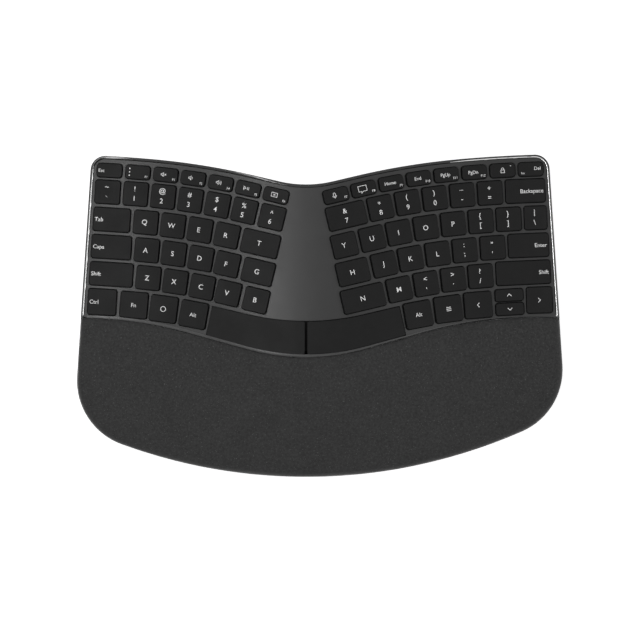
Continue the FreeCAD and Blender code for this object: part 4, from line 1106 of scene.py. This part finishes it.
# Three dots on the first function cap
LIGHTS = [Mark(Icon.DOT, x=-5.4, y=row, stroke=0.8) for row in (-2.3, 0.0, 2.3)]
LEGENDS: dict[str, list[list[Mark]]] = {
    "key_esc": word("Esc", Anchor.LEFT, SHORT_WORD),
    "keys_left_function": [[tag(1), *LIGHTS],
                           *worked(2, Icon.MUTE, Icon.QUIETER, Icon.LOUDER, Icon.PLAY, Icon.SCREEN)],
    "keys_right_function": worked(7, Icon.MICROPHONE, Icon.NOTE, "Home", "End", "PgUp", "PgDn"),
    "key_lock": [[Mark(Icon.LOCK, x=0, y=0.1, stroke=0.36), Mark(Icon.DOT, x=5.6, y=2.9, stroke=0.4)]],
    "key_delete": [[Mark("Del", 6.9, 0.6, SHORT_WORD, Anchor.RIGHT),
                    Mark("Ins", -6.6, -2.4, SMALL, Anchor.LEFT)]],
    "keys_left_number": stacked("~`", "!1", "@2", "#3", "$4", "%5", "^6"),
    "key_7": stacked("&7"),
    "keys_right_number": stacked("*8", "(9", ")0", "_-", "+="),
    "key_backspace": word("Backspace", Anchor.RIGHT),
    "key_tab": word("Tab", Anchor.LEFT),
    "keys_left_top": letters("QWER"),
    "key_t": letters("T"),
    "keys_right_top": letters("YUIOP") + stacked("{[", "}]", "|\\"),
    "key_caps_lock": word("Caps", Anchor.LEFT),
    "keys_left_home": letters("ASDF"),
    "key_g": letters("G"),
    "key_h": letters("H"),
    "keys_right_home": letters("JKL") + stacked(":;", "\"'"),
    "key_enter": word("Enter", Anchor.RIGHT),
    "key_left_shift": word("Shift", Anchor.LEFT),
    "keys_left_lower": letters("ZXCVB"),
    "key_n": letters("N"),
    "keys_right_lower": letters("M") + stacked("<,", ">.", "?/"),
    "key_right_shift": word("Shift", Anchor.RIGHT),
    "key_left_ctrl": word("Ctrl", Anchor.LEFT),
    "key_fn": word("Fn"),
    "key_system": lone(Icon.RING),
    "key_left_alt": word("Alt"),
    "key_right_alt": word("Alt"),
    "key_assistant": lone(Icon.LINES),
    "key_arrow_left": lone(Icon.LEFT),
    "key_arrow_up": lone(Icon.UP),
    "key_arrow_down": lone(Icon.DOWN),
    "key_arrow_right": lone(Icon.RIGHT),
}


@dataclass
class LegendPress:
    """Makes legends as thin closed shapes and presses them onto the caps' dished tops."""

    rise: float
    dish: float
    sunk: float = 0.05 * MM
    proud: float = 0.035 * MM
    bold: float = 0.01 * MM
    capital: float = 0.73
    curve_steps: int = 3
    known: dict[tuple, bpy.types.Mesh] = field(default_factory=dict)

    def flat(self, mark: Mark) -> bpy.types.Mesh:
        """The mark as a flat-topped shape round its own origin, in metres.

        Args:
            mark: the legend.

        Returns:
            Its mesh, which marks of one kind share.
        """
        key = (mark.what, mark.height, mark.anchor, mark.stroke)
        if key not in self.known:
            self.known[key] = self.icon(mark) if isinstance(mark.what, Icon) else self.lettering(mark)
        return self.known[key]

    def lettering(self, mark: Mark) -> bpy.types.Mesh:
        """Turn a word into a mesh.

        Args:
            mark: a legend that holds a word.

        Returns:
            The mesh.
        """
        curve = bpy.data.curves.new("lettering", "FONT")
        curve.body = mark.what
        curve.size = mark.height * MM / self.capital
        curve.align_x = mark.anchor.value
        curve.extrude = (self.sunk + self.proud) / 2
        curve.offset = self.bold
        curve.resolution_u = self.curve_steps
        holder = placed("lettering", curve)
        mesh = plain_mesh(holder)
        bpy.data.objects.remove(holder)
        bpy.data.curves.remove(curve)
        rows = [v.co.y for v in mesh.vertices]
        middle = mark.height * MM / 2 if len(mark.what) > 1 else (min(rows) + max(rows)) / 2
        mesh.transform(Matrix.Translation((0, -middle, (self.proud - self.sunk) / 2)))
        return mesh

    def icon(self, mark: Mark) -> bpy.types.Mesh:
        """Turn an icon's strokes into flat ribbons with a thickness.

        Args:
            mark: a legend that holds an icon.

        Returns:
            The mesh.
        """
        work = bmesh.new()
        half = mark.stroke * MM / 2
        unit = mark.height / LETTER * MM
        for stroke in mark.what.value:
            spots = [Vector((x * unit, y * unit, 0)) for x, y in stroke]
            ribbon(work, spots, half, -self.sunk, self.proud)
        return finished(work, "icon")

    def press(self, mark: Mark, seat: CapSeat) -> tuple[bpy.types.Mesh, Matrix]:
        """Bend a mark onto a cap's dish.

        Args:
            mark: the legend.
            seat: the cap's frame.

        Returns:
            The mesh in the cap's frame, and the cap's place.
        """
        x, y = mark.x * MM, mark.y * MM
        if x == 0 and mark.anchor is not Anchor.CENTRE:
            side = -1 if mark.anchor is Anchor.LEFT else 1
            x = side * (seat.width / 2 - MARGIN * MM)
        mesh = self.flat(mark).copy()
        for vert in mesh.vertices:
            spot = vert.co.x + x
            lift = self.rise + self.dish * (spot / (seat.width / 2)) ** 2
            vert.co = (spot, vert.co.y + y, vert.co.z + lift)
        return mesh, seat.matrix()


def ribbon(work: bmesh.types.BMesh, spots: Sequence[Vector], half: float, low: float, high: float,
           mitre: float = 0.4) -> None:
    """Add a flat stroke with mitred bends and a thickness.

    Args:
        work: the mesh that it is added to.
        spots: the stroke's middle line.
        half: half its width.
        low: height of its underside.
        high: height of its top.
        mitre: least share of the width that a sharp bend is worked out from.
    """
    closed = (spots[0] - spots[-1]).length < MERGE
    path = list(spots[:-1] if closed else spots)
    count = len(path)
    rails = []
    for index, spot in enumerate(path):
        before = path[index - 1] if index or closed else spot
        after = path[(index + 1) % count] if index < count - 1 or closed else spot
        ways = [way.normalized() for way in (spot - before, after - spot) if way.length > MERGE]
        middle = sum(ways, Vector()).normalized()
        side = Vector((-middle.y, middle.x, 0))
        spread = half / max(side.dot(Vector((-ways[0].y, ways[0].x, 0))), mitre)
        rails.append([spot + side * spread * sign for sign in (-1, 1)])
    loops = [[work.verts.new((p.x, p.y, z)) for p, z in ((a, low), (b, low), (b, high), (a, high))]
             for a, b in rails]
    for index in range(count if closed else count - 1):
        here, there = loops[index], loops[(index + 1) % count]
        for corner in range(4):
            after = (corner + 1) % 4
            work.faces.new((here[corner], here[after], there[after], there[corner]))
    if not closed:
        work.faces.new(loops[0][::-1])
        work.faces.new(loops[-1])


# Sub-assemblies


@dataclass
class Keys:
    """All caps with their legends, one piece of each for every key body."""

    caps: CapTree = field(default_factory=CapTree)
    sharp_deg: float = 40.0

    def build(self) -> None:
        """Make every body's caps and legends."""
        press = LegendPress(self.caps.rise, self.caps.dish)
        for node, legends in LEGENDS.items():
            seats = cap_seats(node, self.caps.skirt)
            if len(seats) != len(legends):
                raise ValueError(f"{node}: {len(seats)} caps but {len(legends)} legends")
            shells = [(self.caps.mesh(seat.width, seat.depth), seat.matrix()) for seat in seats]
            signs = [press.press(mark, seat) for seat, marks in zip(seats, legends) for mark in marks]
            settle(new_piece(f"{node}_caps", joined(shells, self.sharp_deg)), KEYCAP, node, node)
            settle(new_piece(f"{node}_legends", joined(signs, self.sharp_deg)), INK, node)


@dataclass
class Underworks:
    """Domes, frames and wires under the caps, drawn as low as a pressed cap leaves them."""

    key_travel: float = 1.5 * MM
    spare: float = 0.15 * MM
    least_share: float = 0.15
    kinds: dict[str, tuple[str, Finish]] = field(default_factory=lambda: {
        "rubber_domes": ("dome_set", DOME), "scissor_frames": ("scissor_set", SCISSOR),
        "stabiliser_wires": ("wire_set", WIRE)})

    def build(self) -> None:
        """Lower each kind and dress it."""
        for node, (name, finish) in self.kinds.items():
            piece = smooth_copy(node, name)
            for part in loose_parts(piece.data):
                self.lower([piece.data.vertices[index] for index in part])
            settle(piece, finish, "case", node)

    def lower(self, part: list[bpy.types.MeshVertex]) -> None:
        """Flatten one part towards its foot, square to the top surface over it.

        Args:
            part: the part's vertices.
        """
        middle = sum((vert.co for vert in part), Vector()) / len(part)
        way = DOME_TOP.normal(middle.x, middle.y)
        heights = [vert.co.dot(way) for vert in part]
        foot, height = min(heights), max(heights) - min(heights)
        share = max(1 - (self.key_travel + self.spare) / height, self.least_share)
        log.debug("part of %d points, %.2f mm high, keeps %.2f", len(part), height / MM, share)
        for vert, rise in zip(part, heights):
            vert.co = vert.co + way * (foot - rise) * (1 - share)


@dataclass
class SpaceBars:
    """Both halves of the space bar."""

    rise: float = 2.3 * MM

    def build(self) -> None:
        """Smooth each half and dress it."""
        for node in ("left_space_bar", "right_space_bar"):
            settle(smooth_copy(node, f"{node}_cap", lift=self.rise), KEYCAP, node, node)


@dataclass
class Shells:
    """Deck, rim and bottom case."""

    def build(self) -> None:
        """Smooth the visible shells and dress them."""
        for node, finish in (("key_deck", DECK), ("rim_frame", RIM), ("bottom_case", CASE)):
            settle(smooth_copy(node, f"{node}_shell"), finish, "case", node)


def tree_of(node: str) -> BVHTree:
    """Search tree over a CAD node's mesh.

    Args:
        node: the CAD node.

    Returns:
        The tree.
    """
    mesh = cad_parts[node].data
    return BVHTree.FromPolygons([vert.co for vert in mesh.vertices],
                                [face.vertices for face in mesh.polygons])


def evened(path: Sequence[Vector], spacing: float, passes: int = 3) -> list[Vector]:
    """Walk a path in equal steps and smooth what its facets leave.

    Args:
        path: the points.
        spacing: length of a step.
        passes: rounds of smoothing.

    Returns:
        The new points.
    """
    spots, left = [path[0].copy()], spacing
    for here, there in zip(path, path[1:]):
        length = (there - here).length
        while length > left:
            here = here.lerp(there, left / length)
            spots.append(here)
            length, left = (there - here).length, spacing
        left -= length
    for _ in range(passes):
        inner = [(a + b * 2 + c) / 4 for a, b, c in zip(spots, spots[1:], spots[2:])]
        spots = [spots[0], *inner, spots[-1]]
    return spots


def swept(loops: Sequence[Sequence[Vector]], sharp_deg: float = 50.0) -> bpy.types.Mesh:
    """Skin loops of equal length into one closed, smooth form with flat ends.

    Args:
        loops: cross-sections along the form.
        sharp_deg: edges bent more than this stay sharp.

    Returns:
        The mesh.
    """
    work = bmesh.new()
    rings = [[work.verts.new(spot) for spot in loop] for loop in loops]
    for here, there in zip(rings, rings[1:]):
        for index, spot in enumerate(here):
            after = (index + 1) % len(here)
            work.faces.new((spot, here[after], there[after], there[index]))
    work.faces.new(rings[0][::-1])
    work.faces.new(rings[-1])
    bmesh.ops.recalc_face_normals(work, faces=work.faces)
    return finished(work, "swept", sharp_deg)


@dataclass(frozen=True)
class Strip:
    """Thin strip that runs beside a path, over a surface, and narrows towards the path's end, where the
    painted highlight that it stands for fades out.
    """

    inset: float
    width: float
    fade: float
    least_share: float = 0.05
    thickness: float = 0.2 * MM
    columns: int = 7

    def mesh(self, path: Sequence[Vector], side: int,
             height: Callable[[float, float, float], float]) -> bpy.types.Mesh:
        """Lay the strip.

        Args:
            path: plan points.
            side: 1 for the left of the path, -1 for its right.
            height: height of the strip's top at a place and a distance from the path.

        Returns:
            The closed mesh.
        """
        loops, total = [], len(path)
        step = (path[1] - path[0]).length
        for index in range(1, total - 1):
            way = (path[index + 1] - path[index - 1]).normalized()
            inwards = Vector((-way.y, way.x, 0)) * side
            share = min(max((total - index) * step / self.fade, self.least_share), 1.0)
            top = []
            for column in range(self.columns):
                across = (column / (self.columns - 1) - 0.5) * self.width * share
                spot = path[index] + inwards * (self.inset + across)
                spot.z = height(spot.x, spot.y, self.inset + across)
                top.append(spot)
            sunk = Vector((0, 0, self.thickness))
            loops.append([*top, top[-1] - sunk, top[0] - sunk])
        return swept(loops)


@dataclass
class PaintedHighlights:
    """Painted highlights: a bright metal line along the rim's inner edge, and a light strip on the
    deck's lip in front of the keys.

    The line's two runs are given by bearings from the hub, in degrees.
    """

    left_run: Spot = (204.0, 159.0)
    right_run: Spot = (-36.0, 35.0)
    hub: Spot = (0.0, 45.0 * MM)
    level: float = 6.0 * MM
    reach: float = 0.4
    rays_per_degree: int = 4
    # Painted highlight on the rim's bead, narrowing out towards the end of each run.
    line: Strip = Strip(1.6 * MM, 0.9 * MM, fade=16 * MM)
    # Painted highlight on the deck's lip, narrowing out towards its right end.
    lip: Strip = Strip(0.2 * MM, 1.7 * MM, fade=170 * MM)
    rim_width: float = 2.2 * MM
    bead: float = 0.88 * MM
    proud: float = 0.3 * MM
    lift: float = 0.03 * MM
    lip_rise: float = 0.4 * MM
    spacing: float = 1.0 * MM
    seam_depth: float = 1.0 * MM
    seam_start: float = -20.0 * MM
    seam_limit: float = 60.0 * MM
    seam_rounds: int = 4

    def build(self) -> None:
        """Lay the painted highlight line on both sides of the rim, and the lip's painted highlight along
        the seam.
        """
        for name, run, side in (("left", self.left_run, -1), ("right", self.right_run, 1)):
            mesh = self.line.mesh(evened(self.outline(*run), self.spacing), side, self.rim_height)
            settle(new_piece(f"{name}_rim_highlight", mesh), HIGHLIGHT_LINE, "case")
        mesh = self.lip.mesh(evened(self.seam(), self.spacing), 1, self.lip_height)
        settle(new_piece("painted_lip_highlight", mesh), LIP_HIGHLIGHT, "case")

    def outline(self, start: float, end: float) -> list[Vector]:
        """Points of the rim's outer wall between two bearings from the hub.

        Args:
            start: first bearing in degrees.
            end: last bearing in degrees.

        Returns:
            The plan points, where the rim is.
        """
        tree, hub = tree_of("rim_frame"), Vector((*self.hub, self.level))
        count, found = int(abs(end - start) * self.rays_per_degree), []
        for index in range(count + 1):
            bearing = math.radians(start + (end - start) * index / count)
            way = Vector((math.cos(bearing), math.sin(bearing), 0))
            spot = tree.ray_cast(hub + way * self.reach, -way)[0]
            if spot is not None and (spot - hub).dot(way) > 0:
                found.append(Vector((spot.x, spot.y, 0)))
        return found

    def seam(self) -> list[Vector]:
        """Points of the deck's front wall from left to right.

        The wall is met a little below the top surface, whose height depends on where it is met, so each
        point is found in a few rounds.

        Returns:
            The plan points.
        """
        tree, found, (x, front, _) = tree_of("key_deck"), [], CAD_BOX[0]
        while x < CAD_BOX[1][0]:
            y = self.seam_start
            for _ in range(self.seam_rounds):
                height = DOME_TOP.height(x, y) - self.seam_depth
                spot = tree.ray_cast(Vector((x, front, height)), Vector((0, 1, 0)))[0]
                if spot is None:
                    break
                y = spot.y
            if spot is not None and abs(y) < self.seam_limit:
                found.append(Vector((x, y, 0)))
            x += self.spacing
        return found

    def rim_height(self, x: float, y: float, depth: float) -> float:
        """Height of the line's top, on the rounded bead.

        Args:
            x: place across.
            y: place towards the rear.
            depth: distance from the rim's outer wall.

        Returns:
            The height.
        """
        short = max(self.bead - min(depth, self.rim_width - depth), 0.0)
        drop = self.bead - math.sqrt(self.bead ** 2 - short ** 2)
        return DOME_TOP.height(x, y) + self.proud - drop + self.lift

    def lip_height(self, x: float, y: float, depth: float) -> float:
        """Height of the lip's top, which rolls down to the seam."""
        share = (depth - self.lip.inset) / self.lip.width + 0.5
        return DOME_TOP.height(x, y) + self.lift + self.lip_rise * math.sin(math.pi / 2 * share)


@dataclass
class PalmRest:
    """Padded fabric cover, swollen by a short cloth simulation."""

    voxel: float = 1.7 * MM
    pressure: float = 3.0
    frames: int = 14
    most: float = 0.8 * MM
    smooth_rounds: int = 3
    smooth_share: float = 0.5
    facing_up: float = 0.25
    facing_out: float = 0.5
    facing_rear: float = 0.4
    held_foot: float = 1.5 * MM
    cloth: dict[str, float] = field(default_factory=lambda: {
        "quality": 4, "tension_stiffness": 25, "bending_stiffness": 3})

    def build(self) -> None:
        """Remesh the pad, let it swell, soften it and dress it."""
        piece = smooth_copy("palm_rest_pad", "palm_pad_cover")
        even = piece.modifiers.new("even", "REMESH")
        even.mode, even.voxel_size = "VOXEL", self.voxel
        bake_in(piece, even)
        self.pin(piece)
        start = [vert.co.copy() for vert in piece.data.vertices]
        self.swell(piece)
        for vert, rest in zip(piece.data.vertices, start):
            moved = vert.co - rest
            if moved.length > self.most:
                vert.co = rest + moved * (self.most / moved.length)
        soft = piece.modifiers.new("soft", "SMOOTH")
        soft.factor, soft.iterations = self.smooth_share, self.smooth_rounds
        bake_in(piece, soft)
        piece.vertex_groups.clear()
        piece.data.shade_smooth()
        settle(piece, CLOTH, "case", "palm_rest_pad")

    def pin(self, piece: bpy.types.Object) -> None:
        """Hold every point but those of the outer skin.

        Args:
            piece: the pad's cover.
        """
        low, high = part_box("palm_rest_pad")
        middle = Vector(((low[0] + high[0]) / 2, high[1], 0))
        group = piece.vertex_groups.new(name="held")
        for vert in piece.data.vertices:
            out = (vert.co - middle).xy.normalized()
            facing = vert.normal.xy.dot(out)
            outer = facing > self.facing_out and vert.normal.y < self.facing_rear
            free = vert.normal.z > self.facing_up or outer
            if not free or vert.co.z < low[2] + self.held_foot:
                group.add([vert.index], 1.0, "REPLACE")

    def swell(self, piece: bpy.types.Object) -> None:
        """Run the cloth and keep its last frame.

        Args:
            piece: the pad's cover.
        """
        scene = bpy.context.scene
        cloth = piece.modifiers.new("cloth", "CLOTH")
        settings = cloth.settings
        for name, value in self.cloth.items():
            setattr(settings, name, value)
        settings.vertex_group_mass = "held"
        settings.use_pressure, settings.uniform_pressure_force = True, self.pressure
        settings.effector_weights.gravity = 0
        cloth.point_cache.frame_start, cloth.point_cache.frame_end = 1, self.frames
        for step in range(1, self.frames + 1):
            scene.frame_set(step)
        bake_in(piece, cloth)
        scene.frame_set(1)


@dataclass
class Fittings:
    """Nodes whose CAD shape stays: they get a finish of their own."""

    finishes: dict[str, Finish] = field(default_factory=lambda: {
        "palm_rest_base": BASE, "key_plate": PLATE_AND_GAP_SHADE, "membrane_circuit": FILM_AND_GAP_SHADE, "status_lights": LAMP,
        "rubber_feet": FOOT, "case_screws": SCREW, "batteries": CELL, "battery_contacts": NICKEL,
        "power_switch": SWITCH, "main_board": BOARD, "flex_tail": TAIL, "battery_door": CASE,
        "tilt_leg_left": CASE, "tilt_leg_right": CASE, "power_slider": SWITCH})

    def build(self) -> None:
        """Give each node its material."""
        for node, finish in self.finishes.items():
            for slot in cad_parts[node].material_slots:
                slot.material = finish.material()
            log.info("%s keeps its shape as %s", node, finish.name)


@dataclass(frozen=True)
class Lamp:
    """A soft box aimed at the object."""

    name: str
    spot: tuple[float, float, float]
    aim: tuple[float, float, float]
    width: float
    height: float
    power: float


@dataclass
class Studio:
    """Camera, soft boxes, pale floor and white surroundings.

    A pixel of the picture covers `pixel` of the object, and `centre` is the pixel over its middle.
    """

    pixel: float = 0.678 * MM
    centre: Spot = (319.75, 315.8)
    frame_pixels: int = 640
    lens: float = 600.0
    sensor: float = 36.0
    mean_height: float = 8.0 * MM
    clip: Spot = (0.1, 30.0)
    ambient: float = 0.3
    floor_size: float = 6.0
    floor_height: float = -0.2 * MM
    floor_tone: float = 0.8
    floor_rough: float = 0.9
    floor_glow: float = 0.75
    lamps: tuple[Lamp, ...] = (
        Lamp("overhead_strip", (-0.4, 0.8, 1.2), (-0.4, 0.8, 0), 0.1, 3.2, 14.0),
        Lamp("right_box", (1.3, -0.1, 1.0), (0, 0, 0), 0.5, 0.9, 4.5),
    )

    def build(self) -> None:
        """Set up everything round the object."""
        self.camera()
        for lamp in self.lamps:
            self.lamp(lamp)
        self.surround()
        self.floor()
        bpy.context.scene.view_settings.view_transform = "Standard"

    def camera(self) -> None:
        """Look straight down from far off, framed as the photograph."""
        data = bpy.data.cameras.new("camera")
        data.lens, data.sensor_width = self.lens, self.sensor
        reach = self.pixel * self.frame_pixels * self.lens / self.sensor
        half = self.frame_pixels / 2
        x = (half - self.centre[0]) * self.pixel
        y = (self.centre[1] - half) * self.pixel
        camera = placed("camera", data)
        camera.location = (x, y, self.mean_height + reach)
        data.clip_start, data.clip_end = self.clip
        bpy.context.scene.camera = camera

    @staticmethod
    def lamp(lamp: Lamp) -> None:
        """Add one soft box.

        Args:
            lamp: where it stands, where it looks, its size and its power.
        """
        data = bpy.data.lights.new(lamp.name, "AREA")
        data.shape, data.energy = "RECTANGLE", lamp.power
        data.size, data.size_y = lamp.width, lamp.height
        light = placed(lamp.name, data)
        light.location = lamp.spot
        way = Vector(lamp.aim) - Vector(lamp.spot)
        if way.xy.length > MERGE:
            light.rotation_euler = way.to_track_quat("-Z", "Y").to_euler()

    @staticmethod
    def seen(tree: bpy.types.NodeTree) -> Term:
        """Mask of the rays that show the surroundings, to the eye or in a gloss.

        Args:
            tree: the tree of the world or of a material.

        Returns:
            The mask.
        """
        path = tree.nodes.new("ShaderNodeLightPath")
        eye, gloss, through = (Term(tree, path.outputs[name]) for name in
                               ("Is Camera Ray", "Is Glossy Ray", "Is Transmission Ray"))
        return eye.top(gloss).top(through)

    def surround(self) -> None:
        """White world to the eye and in a gloss, softer as a light."""
        world = bpy.data.worlds.new("surround")
        bpy.context.scene.world = world
        world.use_nodes = True
        tree = world.node_tree
        light = tree.nodes["Background"]
        wire(tree, light, Color=WHITE, Strength=self.seen(tree) * (1 - self.ambient) + self.ambient)

    def floor(self) -> None:
        """Pale floor that shows white, keeps a faint shadow and is clear from below."""
        work = bmesh.new()
        bmesh.ops.create_grid(work, x_segments=1, y_segments=1, size=self.floor_size)
        floor = new_piece("floor", finished(work, "floor"))
        floor.location.z = self.floor_height
        made = bpy.data.materials.new("pale_floor")
        made.use_nodes = True
        tree = made.node_tree
        shader = tree.nodes["Principled BSDF"]
        wire(tree, shader, Base_Color=(*grey(self.floor_tone), 1), Roughness=self.floor_rough,
             Emission_Color=WHITE, Emission_Strength=self.seen(tree) * self.floor_glow)
        side = tree.nodes.new("ShaderNodeNewGeometry").outputs["Backfacing"]
        clear = tree.nodes.new("ShaderNodeBsdfTransparent").outputs[0]
        blend = tree.nodes.new("ShaderNodeMixShader")
        for source, socket in zip((side, shader.outputs[0], clear), blend.inputs):
            tree.links.new(source, socket)
        tree.links.new(blend.outputs[0], tree.nodes["Material Output"].inputs["Surface"])
        floor.data.materials.append(made)


def main() -> None:
    """Build the keyboard's looks and its studio."""
    logging.basicConfig(level=logging.INFO, format="%(name)s: %(message)s")
    build_groups()
    Studio().build()
    for assembly in (Fittings(), Shells(), PaintedHighlights(), Underworks(), SpaceBars(), Keys(), PalmRest()):
        assembly.build()
        log.info("%s done", type(assembly).__name__)


if __name__ == "__main__":
    main()
